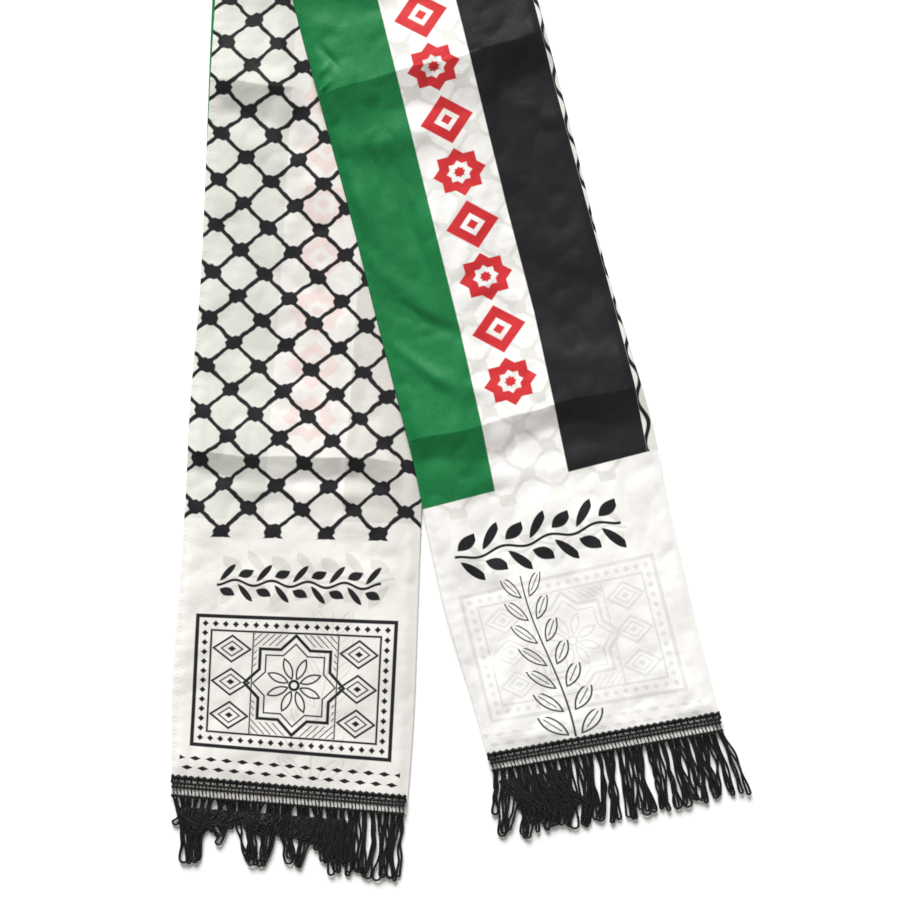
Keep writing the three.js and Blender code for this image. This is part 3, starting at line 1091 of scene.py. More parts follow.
@dataclass(frozen=True)
class LoopFringe:
    """The looped fringe of one end: a yarn for each loop, and short tangled loops over the roots."""

    place: TrimPlace
    seed: int
    loops: int
    tangle: float
    fillers: int
    filler_lean: float = 0.0
    stray: float = 1.2
    strand: Yarn = Yarn(0.8, 0.56, 2.5, sides=6)
    sample: float = 0.52
    root_stray: float = 0.2
    hang_spread: tuple[float, float] = (-3.5, 1.6)
    drawn_spread: tuple[float, float] = (-2.0, 1.0)
    openings: tuple[float, ...] = (0.9, 1.0, 1.3, 1.7, 2.3)
    filler_start: float = 6.4
    filler_margin: float = 3.0
    filler_stray: float = 6.0
    filler_spread: tuple[float, float] = (-5.0, 0.5)
    filler_openings: tuple[float, ...] = (0.9, 1.3, 1.8)
    wiggles: tuple[float, float] = (0.2, 0.7)
    turns: tuple[float, float] = (1.0, 2.2)
    phases: tuple[float, float] = (0.0, 6.28)
    rests: tuple[float, float] = (0.82, 1.5)
    gaps: tuple[float, float] = (0.0, 0.9)
    closed: float = 0.62
    closes_within: float = 3.4
    opens_between: tuple[float, float] = (0.72, 0.97)
    rises_until: float = 0.45
    weave: float = 0.2
    late_drift: float = 1.5
    tip_points: int = 6

    def build(self, finish: bpy.types.Material) -> bpy.types.Object:
        """Makes the fringe and dresses it.

        Args:
            finish: Its material.

        Returns:
            The new piece.
        """
        draw = random.Random(self.seed)
        work = YarnWork()
        for k in range(self.loops):
            self.add_loop(work, draw, k)
        for _ in range(self.fillers):
            self.add_filler(work, draw)
        return self.place.dress(work.piece(f"{self.place.leg.name}_fringe"), finish)

    def bunch_of(self, root: float) -> Bunch:
        """The bunch that a strand's root belongs to."""
        bunches = self.place.leg.bunches
        return next((bunch for bunch in bunches if root <= bunch.root_to), bunches[-1])

    def add_loop(self, work: YarnWork, draw: random.Random, k: int) -> None:
        """Adds one full loop, from two neighbouring bars of the braid.

        Args:
            work: The fringe.
            draw: The source of its small chances.
            k: Its number from the left.
        """
        pair = 2 * self.place.pitch
        root = -BRAID_HALF_WIDTH + 2 * BRAID_HALF_WIDTH * (k + 0.5) / self.loops
        root = (math.floor(root / pair) + 0.5) * pair
        root = root + draw.uniform(-self.root_stray, self.root_stray)
        bunch = self.bunch_of(root)
        share = (root - bunch.root_from) / (bunch.root_to - bunch.root_from)
        tip = bunch.tip_from + share * (bunch.tip_to - bunch.tip_from)
        tip = tip + draw.uniform(-self.stray, self.stray)
        hang = bunch.hang + draw.uniform(*self.hang_spread)
        if draw.random() < bunch.drawn_up:
            hang = bunch.body + draw.uniform(*self.drawn_spread)
        opening = draw.choice(self.openings)
        work.add(self.strand, self.loop(draw, root, tip, hang, opening), draw.uniform(*self.phases))

    def add_filler(self, work: YarnWork, draw: random.Random) -> None:
        """Adds one short tangled loop over the roots of a bunch that has them.

        Args:
            work: The fringe.
            draw: The source of its small chances.
        """
        reach = BRAID_HALF_WIDTH - self.filler_margin
        root = draw.uniform(-reach, reach)
        bunch = self.bunch_of(root)
        if bunch.body > 0:
            hang = bunch.body + draw.uniform(*self.filler_spread)
            tip = root + self.filler_lean + draw.uniform(-self.filler_stray, self.filler_stray)
            opening = draw.choice(self.filler_openings)
            path = self.loop(draw, root, tip, hang, opening, self.filler_start)
            work.add(self.strand, path, draw.uniform(*self.phases))

    def loop(
        self, draw: random.Random, root: float, tip: float, hang: float, opening: float, late: float = 0.0
    ) -> np.ndarray:
        """The path of one loop.

        Args:
            draw: The source of its small chances.
            root: Its place across the end, at the braid.
            tip: Its place across the end, at its tip.
            hang: How far it hangs below the braid.
            opening: Half the width of the loop at its tip.
            late: How far below the last chain it starts.

        Returns:
            Points down one side, round the tip and back up the other.
        """
        place = self.place
        sway = draw.uniform(-self.tangle, self.tangle)
        wiggle = draw.uniform(*self.wiggles)
        turns = draw.uniform(*self.turns)
        phase = draw.uniform(*self.phases)
        rest = draw.uniform(*self.rests)
        gap = draw.uniform(*self.gaps)
        t = np.linspace(0, 1, int(hang / self.sample))
        bow = np.sin(math.pi * t)
        swing = 2 * math.pi * turns * t
        drift = (tip - root) * t**self.late_drift
        middle = root + drift + sway * bow + wiggle * np.sin(swing + phase) * bow
        at_braid = place.pitch / 2
        apart = at_braid + (self.closed - at_braid) * smooth(0, self.closes_within / hang, t)
        apart = apart + gap * bow**2 * np.cos(swing + phase)
        apart = apart + (opening - self.closed) * smooth(*self.opens_between, t)
        first = place.chains[-1] * place.stretch(root) + late
        below = first + (BRAID_HEIGHT + hang - opening - first) * t
        height = place.lying(root, below / place.stretch(root))
        height = height + (rest - place.on_surface) * smooth(0, self.rises_until, t)
        weave = self.weave * np.sin(swing)
        points = max(self.tip_points, int(math.pi * opening / self.sample))
        angle = np.linspace(0, math.pi, points)[1:-1]
        left = (middle - apart, below, height - weave)
        right = (middle + apart, below, height + weave)
        round_tip = (
            middle[-1] - opening * np.cos(angle),
            below[-1] + opening * np.sin(angle),
            np.linspace(left[2][-1], right[2][-1], len(angle)),
        )
        rows = [np.concatenate([a, b, c[::-1]]) for a, b, c in zip(left, round_tip, right)]
        return place.path(*rows)


LEFT_TRIM = TrimPlace(LEFT_LEG, "left_fringe", left_stretch=1.12, right_stretch=1.0)
RIGHT_TRIM = TrimPlace(
    RIGHT_LEG, "right_fringe", left_stretch=0.98, right_stretch=1.03, left_lift=0.9, right_lift=3.2
)
LEFT_FRINGE = LoopFringe(LEFT_TRIM, seed=11, loops=60, tangle=3.2, fillers=110)
RIGHT_FRINGE = LoopFringe(
    RIGHT_TRIM, seed=23, loops=68, tangle=3.0, fillers=120, filler_lean=7.0, stray=2.6
)


@dataclass(frozen=True)
class SoftLight:
    """A broad soft light, as even as a far window."""

    name: str
    rise: float
    swing: float
    spread: float
    strength: float
    distance: float = 2.0

    def build(self) -> None:
        """Makes it, at its angles over the surface and from the scarf's top towards its left."""
        data = bpy.data.lights.new(self.name, "SUN")
        data.angle = math.radians(self.spread)
        data.energy = self.strength
        lamp = bpy.data.objects.new(self.name, data)
        up, swing = math.radians(self.rise), math.radians(self.swing)
        level = math.cos(up)
        place = Vector((-math.sin(swing) * level, math.cos(swing) * level, math.sin(up)))
        lamp.location = place * self.distance
        lamp.rotation_euler = (-place).to_track_quat("-Z", "Y").to_euler()
        bpy.context.scene.collection.objects.link(lamp)


@dataclass(frozen=True)
class Studio:
    """The pale floor, the soft lights and the camera straight above."""

    field: float = 538.4
    centre: tuple[float, float] = (0.4, -98.5)
    lens: float = 120.0
    sensor: float = 36.0
    floor_half: float = 6000.0
    floor_drop: float = 0.4
    floor_shade: tuple[float, float, float, float] = (0.97, 0.97, 0.97, 1.0)
    floor_roughness: float = 0.8
    key: SoftLight = SoftLight("key_light", rise=27.0, swing=12.0, spread=36.0, strength=5.9)
    fill: SoftLight = SoftLight("fill_light", rise=65.0, swing=190.0, spread=50.0, strength=0.3)
    sky: tuple[float, float, float, float] = (1.0, 0.95, 0.88, 1.0)
    sky_strength: float = 0.23

    def camera(self) -> None:
        """Makes the camera that looks straight down."""
        data = bpy.data.cameras.new("photo_camera")
        data.lens = self.lens
        data.sensor_width = self.sensor
        camera = bpy.data.objects.new("photo_camera", data)
        x, y = self.centre
        camera.location = (x * MM, y * MM, self.field * MM * self.lens / self.sensor)
        bpy.context.scene.collection.objects.link(camera)
        bpy.context.scene.camera = camera

    def floor(self) -> None:
        """Makes the pale floor."""
        reach, level = self.floor_half * MM, -self.floor_drop * MM
        mesh = bpy.data.meshes.new("floor")
        corners = [(x * reach, y * reach, level) for x, y in ((-1, -1), (1, -1), (1, 1), (-1, 1))]
        mesh.from_pydata(corners, [], [(0, 1, 2, 3)])
        material, _, shader = bare_material("pale_floor")
        shader.inputs["Base Color"].default_value = self.floor_shade
        shader.inputs["Roughness"].default_value = self.floor_roughness
        mesh.materials.append(material)
        add_piece(mesh)

    def build(self) -> None:
        """Sets up the whole studio."""
        self.camera()
        self.floor()
        for light in (self.key, self.fill):
            light.build()
        world = bpy.data.worlds.new("pale_world")
        world.use_nodes = True
        background = world.node_tree.nodes["Background"]
        background.inputs["Color"].default_value = self.sky
        background.inputs["Strength"].default_value = self.sky_strength
        bpy.context.scene.world = world
        bpy.context.scene.view_settings.view_transform = "Standard"


class Field:
    """A number that varies over a surface, made by shader nodes."""

    def __init__(self, tree: bpy.types.NodeTree, socket: bpy.types.NodeSocket) -> None:
        """Wraps an output socket of a node tree."""
        self.tree = tree
        self.socket = socket

    def math(self, operation: str, *others: Field | float, clamp: bool = False) -> Field:
        """Puts a Math node after this field.

        Args:
            operation: The Math node's operation.
            *others: Its other inputs.
            clamp: Whether the result is kept from 0 to 1.

        Returns:
            The node's result.
        """
        node = self.tree.nodes.new("ShaderNodeMath")
        node.operation = operation
        node.use_clamp = clamp
        for slot, value in zip(node.inputs, (self, *others)):
            if isinstance(value, Field):
                self.tree.links.new(value.socket, slot)
            else:
                slot.default_value = value
        return Field(self.tree, node.outputs[0])

    def __add__(self, other: Field | float) -> Field:
        """The sum."""
        return self.math("ADD", other)

    def __sub__(self, other: Field | float) -> Field:
        """The difference."""
        return self.math("SUBTRACT", other)

    def __mul__(self, other: Field | float) -> Field:
        """The product."""
        return self.math("MULTIPLY", other)

    def __truediv__(self, other: Field | float) -> Field:
        """The quotient."""
        return self.math("DIVIDE", other)

    def __neg__(self) -> Field:
        """The opposite."""
        return self.math("MULTIPLY", -1.0)

    def __abs__(self) -> Field:
        """The distance from 0."""
        return self.math("ABSOLUTE")

    def least(self, other: Field | float) -> Field:
        """The smaller of the two, which joins two shapes."""
        return self.math("MINIMUM", other)

    def most(self, other: Field | float) -> Field:
        """The larger of the two, which keeps what two shapes share."""
        return self.math("MAXIMUM", other)

    def joined(self, other: Field, softness: float) -> Field:
        """Two shapes joined with a soft fillet."""
        return self.math("SMOOTH_MIN", other, softness)

    def folded(self, half_period: float) -> Field:
        """The distance to the nearest of a row of places, two half periods apart."""
        return self.math("PINGPONG", half_period)

    def radius(self, other: Field) -> Field:
        """The distance from the origin of this and another coordinate."""
        return (self * self + other * other).math("SQRT")

    def ink(self, edge: float = 0.35) -> Field:
        """Ink inside a shape, where this is the signed distance to the shape's edge.

        Args:
            edge: How far each side of the edge the ink fades.

        Returns:
            How much ink there is, from 0 to 1.
        """
        node = self.tree.nodes.new("ShaderNodeMapRange")
        self.tree.links.new(self.socket, node.inputs["Value"])
        node.inputs["From Min"].default_value = edge
        node.inputs["From Max"].default_value = -edge
        return Field(self.tree, node.outputs["Result"])

    def sign(self) -> Field:
        """1 where it is above 0 and -1 where it is below."""
        return self.math("SIGN")

    def above(self, limit: float) -> Field:
        """1 where it is above a limit and 0 elsewhere."""
        return self.math("GREATER_THAN", limit)

    def below(self, limit: float) -> Field:
        """1 where it is below a limit and 0 elsewhere."""
        return self.math("LESS_THAN", limit)

    def repeated(self, half_period: float) -> Field:
        """The place within a repeat that reaches half a period each side of 0."""
        return self.math("WRAP", half_period, -half_period)

    def outlined(self, half_line: float) -> Field:
        """A line along the edge of a shape."""
        return abs(self) - half_line


class Effect:
    """A shader node group with named number inputs and outputs."""

    def __init__(self, name: str, inputs: tuple[str, ...], outputs: tuple[str, ...]) -> None:
        """Makes the group and its sockets.

        Args:
            name: The group's name.
            inputs: Names of its number inputs.
            outputs: Names of its number outputs.
        """
        self.tree = bpy.data.node_groups.new(name, "ShaderNodeTree")
        for socket in inputs:
            self.tree.interface.new_socket(socket, in_out="INPUT", socket_type="NodeSocketFloat")
        for socket in outputs:
            self.tree.interface.new_socket(socket, in_out="OUTPUT", socket_type="NodeSocketFloat")
        self.source = self.tree.nodes.new("NodeGroupInput")
        self.result = self.tree.nodes.new("NodeGroupOutput")

    def given(self, name: str) -> Field:
        """One of the group's inputs, as a field."""
        return Field(self.tree, self.source.outputs[name])

    def give(self, name: str, value: Field) -> None:
        """Joins a field to one of the group's outputs."""
        self.tree.links.new(value.socket, self.result.inputs[name])

    def noise(self, x: Field, y: Field, size: float, detail: float = 2.0) -> Field:
        """Soft chance, from 0 to 1, over two coordinates.

        Args:
            x: The first coordinate.
            y: The second one.
            size: The size of its spots, in the coordinates' unit.
            detail: How many finer layers it has.

        Returns:
            The chance at each point.
        """
        join = self.tree.nodes.new("ShaderNodeCombineXYZ")
        self.tree.links.new(x.socket, join.inputs["X"])
        self.tree.links.new(y.socket, join.inputs["Y"])
        node = self.tree.nodes.new("ShaderNodeTexNoise")
        node.noise_dimensions = "2D"
        node.inputs["Scale"].default_value = 1.0 / size
        node.inputs["Detail"].default_value = detail
        self.tree.links.new(join.outputs["Vector"], node.inputs["Vector"])
        return Field(self.tree, node.outputs["Fac"])

    def placed(self, tree: bpy.types.NodeTree, **inputs: Field) -> dict[str, Field]:
        """Places the group in another tree.

        Args:
            tree: The tree that it goes into.
            **inputs: A field for each of its inputs.

        Returns:
            Its outputs by name.
        """
        node = tree.nodes.new("ShaderNodeGroup")
        node.node_tree = self.tree
        for name, value in inputs.items():
            tree.links.new(value.socket, node.inputs[name])
        return {socket.name: Field(tree, socket) for socket in node.outputs}


@dataclass(frozen=True)
class Leaf:
    """A pointed leaf: half its length, half its width, its place and its lean in degrees."""

    long: float
    wide: float
    x: float
    y: float
    lean: float

    def shape(self, x: Field, y: Field) -> tuple[Field, Field]:
        """The leaf's shape and its middle vein.

        Args:
            x: The coordinate across the design.
            y: The coordinate up it.

        Returns:
            The signed distance to its edge, and the distance to its vein.
        """
        lean = math.radians(self.lean)
        right, up = x - self.x, y - self.y
        along = right * math.cos(lean) + up * math.sin(lean)
        beside = abs(up * math.cos(lean) - right * math.sin(lean))
        bow = (self.long**2 + self.wide**2) / (2 * self.wide)
        return (beside + (bow - self.wide)).radius(along) - bow, beside


def lozenge(x: Field, y: Field) -> Field:
    """How far out a point is, by a square that stands on its corner."""
    return (abs(x) + abs(y)) * HALF_DIAGONAL


def star(x: Field, y: Field) -> Field:
    """How far out a point is, by an eight-pointed star made of two crossed squares."""
    return abs(x).most(abs(y)).least(lozenge(x, y))


@dataclass(frozen=True)
class Band:
    """A line that runs inside the edge of a shape: how far in, and half its width."""

    inside: float
    half_line: float

    def drawn(self, edge: Field) -> Field:
        """The line, from the signed distance to the shape's edge."""
        return (edge + self.inside).outlined(self.half_line)


@dataclass(frozen=True)
class Net:
    """The net: knots on a staggered lattice, with hand-drawn lines between them."""

    column: float = 15.25
    row: float = 13.56
    origin: tuple[float, float] = (127.0, 156.2)
    half_line: float = 1.18
    fillet: float = 1.3
    waver: float = 2.6
    waver_length: float = 9.0
    knot_flank: float = 4.8
    knot_slope: float = math.radians(25.8)
    knot_high: float = 3.6
    knot_corner: float = 0.8
    knot_lean: float = 0.22
    bump: float = 2.15
    bump_fillet: float = 0.6

    def drawn(self, group: Effect, around: Field, run: Field) -> Field:
        """Draws it.

        Args:
            group: The group that it is drawn in.
            around: Distance round the print.
            run: Distance along the cloth.

        Returns:
            The signed distance to its ink.
        """
        x = around + (group.noise(around, run, self.waver_length) - 0.5) * self.waver - self.origin[0]
        y = run + (group.noise(run, around, self.waver_length) - 0.5) * self.waver - self.origin[1]
        column, row = x.folded(self.column), y.folded(self.row)
        slope = math.hypot(self.column, self.row)
        line = abs(column * (self.row / slope) - row * (self.column / slope)) - self.half_line
        near = self.knot(x.repeated(self.column), y.repeated(self.row), self.knot_lean)
        far_x = (x - self.column).repeated(self.column)
        far_y = (y - self.row).repeated(self.row)
        return line.joined(near.least(self.knot(far_x, far_y, -self.knot_lean)), self.fillet)

    def knot(self, x: Field, y: Field, lean: float) -> Field:
        """One knot: a lozenge cut flat above and below, with a slight bump on each flat.

        Args:
            x: Distance from its middle round the print.
            y: Distance from its middle along the cloth.
            lean: How far it leans sideways on each millimetre up.

        Returns:
            The signed distance to its ink.
        """
        x, y = abs(x + y * lean), abs(y)
        flank = x * math.cos(self.knot_slope) + y * math.sin(self.knot_slope) - self.knot_flank
        body = -(-flank).joined(-(y - self.knot_high), self.knot_corner)
        return body.joined(x.radius(y - self.bump) - self.bump, self.bump_fillet)


@dataclass(frozen=True)
class NetRim:
    """The wavy line that closes the net beside the black stripe."""

    ends: float = 80.0
    crest: float = 180.1
    half_pitch: float = 13.56
    swing: float = 2.2
    inward: float = 0.5
    half_line: float = 1.3

    def drawn(self, around: Field, from_end: Field) -> Field:
        """Draws it.

        Args:
            around: Distance round the print.
            from_end: Distance from the nearer end.

        Returns:
            The signed distance to its ink.
        """
        turn = (from_end - self.crest) * (math.pi / self.half_pitch)
        swing = turn.math("COSINE") * self.swing + (self.swing - self.inward)
        return abs(around - swing - PRINT_WIDTH / 2) - self.half_line


@dataclass(frozen=True)
class MotifRow:
    """The rings on the white stripe: stars and lozenges in turn, the same from both ends."""

    steps: int = 13
    first: float = 222.5
    starts: float = 206.0
    ring: Band = Band(-8.6, 3.0)
    heart: float = 2.6
    squash: float = 1.15
    reach: float = 17.0

    def drawn(self, around: Field, from_end: Field, length: float) -> Field:
        """Draws it.

        Args:
            around: Distance round the print.
            from_end: Distance from the nearer end.
            length: The length of the whole cloth.

        Returns:
            The signed distance to its ink.
        """
        pitch = (length / 2 - self.first) / self.steps
        y = (from_end - self.first).folded(pitch)
        stars = star(around, y * self.squash)
        lozenges = lozenge(around, (y - pitch) * self.squash)
        rings = self.ring.drawn(stars).least(self.ring.drawn(lozenges))
        return rings.least(stars.least(lozenges) - self.heart)


class Design(Protocol):
    """A design drawn on one end of the print."""

    def drawn(self, x: Field, y: Field) -> Field:
        """Draws it.

        Args:
            x: Distance right of the end's middle.
            y: Distance above the braid.

        Returns:
            The signed distance to its ink.
        """


@dataclass(frozen=True)
class Garland:
    """A wavy stem with a pair of leaves in each repeat."""

    leaf: Leaf
    pitch: float
    reach: float
    up: float
    left: float = 0.0
    stem_swing: float = 1.6
    stem_half: float = 0.8

    def drawn(self, x: Field, y: Field) -> Field:
        """Draws it.

        Args:
            x: Distance right of the end's middle.
            y: Distance above the braid.

        Returns:
            The signed distance to its ink.
        """
        x, y = x + self.left, y - self.up
        y = y - (x * (math.pi / self.pitch)).math("SINE") * self.stem_swing
        leaves, _ = self.leaf.shape(x.repeated(self.pitch / 2), abs(y))
        return leaves.least(abs(y) - self.stem_half).most(abs(x) - self.reach)


@dataclass(frozen=True)
class WovenPanel:
    """A panel in a beaded border: an eight-pointed star between two columns of lozenges."""

    up: float = 58.0
    half_width: float = 59.0
    half_height: float = 40.0
    margin: float = 0.9
    outer_line: Band = Band(1.2, 1.1)
    inner_line: Band = Band(9.6, 0.6)
    bead_band: Band = Band(5.4, 2.6)
    bead_spacing: tuple[float, float] = (2.95, 2.86)
    bead: float = 1.3
    star_half: float = 20.5
    star_lines: tuple[Band, Band] = (Band(0.0, 0.9), Band(3.5, 0.45))
    petal: Leaf = Leaf(6.2, 2.2, 9.4, 3.9, 22.5)
    petal_line: float = 0.5
    heart: Band = Band(-2.6, 0.8)
    lozenge_at: float = 37.0
    lozenge_spacing: float = 9.9
    lozenge_slope: tuple[float, float] = (0.5832, 0.81)
    lozenge_lines: tuple[Band, Band] = (Band(-6.3, 0.6), Band(-3.6, 0.4))
    lozenge_heart: float = 1.4
    lozenge_clear: float = 25.5
    hatch_spacing: float = 1.9
    hatch_half: float = 0.38
    hatch_clear: float = 2.1
    hatch_reach: float = 24.2
    rail: Band = Band(-24.8, 0.4)

    def drawn(self, x: Field, y: Field) -> Field:
        """Draws it.

        Args:
            x: Distance right of the end's middle.
            y: Distance above the braid.

        Returns:
            The signed distance to its ink.
        """
        up = y - self.up
        wide, high = abs(x), abs(up)
        edge = (wide - self.half_width).most(high - self.half_height)
        inner = edge + self.inner_line.inside
        beads = lozenge(x.folded(self.bead_spacing[0]), up.folded(self.bead_spacing[1])) - self.bead
        border = self.outer_line.drawn(edge).least(self.inner_line.drawn(edge))
        border = border.least(beads.most(self.bead_band.drawn(edge)))
        medal_edge = star(x, up) - self.star_half
        petal, _ = self.petal.shape(wide.most(high), wide.least(high))
        medal = self.star_lines[0].drawn(medal_edge).least(self.star_lines[1].drawn(medal_edge))
        medal = medal.least(petal.outlined(self.petal_line)).least(self.heart.drawn(x.radius(up)))
        across, along = self.lozenge_slope
        side = abs(wide - self.lozenge_at) * across + up.folded(self.lozenge_spacing) * along
        chain = self.lozenge_lines[0].drawn(side).least(self.lozenge_lines[1].drawn(side))
        chain = chain.least(side - self.lozenge_heart).most(-wide + self.lozenge_clear)
        hatch = (wide + high).folded(self.hatch_spacing) - self.hatch_half
        hatch = hatch.most(-medal_edge + self.hatch_clear).most(wide - self.hatch_reach)
        filled = chain.least(hatch).most(inner + self.margin)
        return border.least(medal).least(filled).least(self.rail.drawn(wide).most(inner))


@dataclass(frozen=True)
class LozengeRows:
    """Two staggered rows of small flat lozenges."""

    up: float = 8.0
    apart: float = 2.9
    reach: float = 64.4
    spacing: float = 4.6
    slope: tuple[float, float] = (0.5, 1.2)
    size: float = 1.7

    def row(self, x: Field, y: Field) -> Field:
        """One row, as the signed distance to its ink."""
        return x.folded(self.spacing) * self.slope[0] + abs(y) * self.slope[1] - self.size

    def drawn(self, x: Field, y: Field) -> Field:
        """Draws it.

        Args:
            x: Distance right of the end's middle.
            y: Distance above the braid.

        Returns:
            The signed distance to its ink.
        """
        upper = self.row(x, y - (self.up + self.apart))
        lower = self.row(x - self.spacing, y - (self.up - self.apart))
        return upper.least(lower).most(abs(x) - self.reach)


@dataclass(frozen=True)
class LeafySprig:
    """An upright bent stem with outlined leaves, which get smaller upwards."""

    up: float = 52.0
    half_height: float = 49.7
    left: float = 16.5
    bend: float = 4.5
    bend_length: float = 26.0
    narrowing: float = 0.006
    width: float = 1.05
    leaf: Leaf = Leaf(9.6, 3.1, 9.8, 1.5, 47)
    leaf_spacing: float = 7.1
    leaf_line: float = 0.45
    vein_half: float = 0.3
    vein_margin: float = 1.8
    stem_half: float = 0.5

    def drawn(self, x: Field, y: Field) -> Field:
        """Draws it.

        Args:
            x: Distance right of the end's middle.
            y: Distance above the braid.

        Returns:
            The signed distance to its ink.
        """
        up = y - self.up
        bend = (up * (1 / self.bend_length)).math("SINE") * self.bend
        beside = abs((x + self.left + bend) * (up * self.narrowing + self.width))
        leaf, vein = self.leaf.shape(beside, up.repeated(self.leaf_spacing))
        veins = (vein - self.vein_half).most(leaf + self.vein_margin)
        sprig = leaf.outlined(self.leaf_line).least(veins).least(beside - self.stem_half)
        return sprig.most(abs(up) - self.half_height)


@dataclass(frozen=True)
class ScarfPrint:
    """The print of the whole cloth: its net, its stripes and its two end designs."""

    length: float
    net: Net = Net()
    rim: NetRim = NetRim()
    motifs: MotifRow = MotifRow()
    net_end: tuple[Design, ...] = (
        Garland(Leaf(5.6, 2.2, 0.8, 5.8, 38), pitch=10.6, reach=47.7, up=117.0),
        WovenPanel(),
        LozengeRows(),
    )
    flag_end: tuple[Design, ...] = (
        Garland(Leaf(8.6, 3.2, 2.0, 9.0, 40), pitch=14.3, reach=50.0, up=120.0, left=5.0),
        LeafySprig(),
    )
    end_edge: float = 0.3

    def end_ink(self, designs: tuple[Design, ...], x: Field, y: Field) -> Field:
        """The ink of an end's designs.

        Args:
            designs: The designs.
            x: Distance right of the end's middle.
            y: Distance above the braid.

        Returns:
            How much of the ink there is.
        """
        shape = designs[0].drawn(x, y)
        for design in designs[1:]:
            shape = shape.least(design.drawn(x, y))
        return shape.ink(self.end_edge)

    def inks(self) -> Effect:
        """Makes the group that says how much of each ink a point of the print has.

        Returns:
            The group, from the place on the print to its green, red and black.
        """
        group = Effect("scarf_inks", ("Around", "Run"), ("Green", "Red", "Black"))
        around, run = group.given("Around"), group.given("Run")
        other = -run + self.length
        from_end = run.least(other)
        turned = (run - other).sign()
        net_side = (abs(around - PRINT_WIDTH) - PRINT_WIDTH / 2).below(0.0)
        flag_side = -net_side + 1.0
        above_stripes_end = (-from_end + STRIPES_END).ink()
        striped = above_stripes_end * flag_side
        netted = (-from_end + NET_END).ink() * net_side
        bare = -(striped + netted) + 1.0
        green = (around + STRIPE_EDGE).ink().most(around.above(1.5 * PRINT_WIDTH))
        black = (-around + STRIPE_EDGE).ink() * (around - PRINT_WIDTH / 2).ink()
        beside_black = (around - self.rim.ends).below(0.0) * turned.above(0.0)
        rim = self.rim.drawn(around, from_end).ink() * beside_black * above_stripes_end
        net = self.net.drawn(group, around, run).ink() * (-beside_black + 1.0) + rim
        above_braid = from_end - BRAID_COVER
        net_end = self.end_ink(self.net_end, (around - PRINT_WIDTH) * turned, above_braid)
        flag_end = self.end_ink(self.flag_end, around * turned, above_braid)
        ends = (net_end * net_side + flag_end * flag_side) * bare
        motifs = self.motifs.drawn(around, from_end, self.length).ink()
        motifs = motifs * from_end.above(self.motifs.starts)
        group.give("Green", green * striped)
        group.give("Red", motifs * striped * (abs(around) - self.motifs.reach).ink())
        group.give("Black", black * striped + net * netted + ends)
        return group


@dataclass(frozen=True)
class Shade:
    """A plain colour, as linear light."""

    red: float
    green: float
    blue: float

    def value(self) -> tuple[float, float, float, float]:
        """The colour for a node's socket."""
        return (self.red, self.green, self.blue, 1.0)


def add_bump(height: Field, shader: bpy.types.Node, strength: float, depth: float) -> None:
    """Gives a shader a fine relief.

    Args:
        height: The relief's height, from 0 to about 1.
        shader: The shader.
        strength: How strong it looks.
        depth: How deep it is, in millimetres.
    """
    bump = height.tree.nodes.new("ShaderNodeBump")
    bump.inputs["Strength"].default_value = strength
    bump.inputs["Distance"].default_value = depth * MM
    height.tree.links.new(height.socket, bump.inputs["Height"])
    height.tree.links.new(bump.outputs["Normal"], shader.inputs["Normal"])


class Paint:
    """A colour that varies over a surface."""

    def __init__(self, tree: bpy.types.NodeTree, shade: Shade) -> None:
        """Starts with one plain colour.

        Args:
            tree: The node tree that it is mixed in.
            shade: The colour.
        """
        self.tree = tree
        node = tree.nodes.new("ShaderNodeRGB")
        node.outputs[0].default_value = shade.value()
        self.socket = node.outputs[0]

    def over(self, amount: Field, shade: Shade, how: Blend = Blend.COVER) -> Paint:
        """Lays a colour over this one.

        Args:
            amount: How much of it there is.
            shade: The colour.
            how: How it is laid on.

        Returns:
            This paint, changed.
        """
        node = self.tree.nodes.new("ShaderNodeMix")
        node.data_type = "RGBA"
        node.blend_type = how.value
        self.tree.links.new(amount.socket, node.inputs["Factor"])
        self.tree.links.new(self.socket, node.inputs["A"])
        node.inputs["B"].default_value = shade.value()
        self.socket = node.outputs["Result"]
        return self


# The bare cloth of the flag side, and that of the net side, the same white darkened as painted shade
WHITE_CLOTH = Shade(0.84, 0.83, 0.81)
SHADED_NET_CLOTH = Shade(0.76, 0.745, 0.715)

# The inks, with the green that shows at the satin's slubs
GREEN_INK = Shade(0.0085, 0.18, 0.051)
DARK_GREEN_INK = Shade(0.0042, 0.1, 0.027)
RED_INK = Shade(0.57, 0.028, 0.033)
BLACK_INK = Shade(0.011, 0.011, 0.013)

# The black yarn: painted shade where its fibre bump sinks between the fibres, and its own black on them
FIBRE_GAP_SHADE = Shade(0.002, 0.002, 0.002)
FIBRE_BLACK = Shade(0.011, 0.011, 0.012)

# What each ink of the layer behind leaves of the light where it shows through
GHOST_RED = Shade(1.0, 0.87, 0.86)
GHOST_BLACK = Shade(0.84, 0.84, 0.82)
GHOST_GREEN = Shade(0.87, 0.89, 0.86)


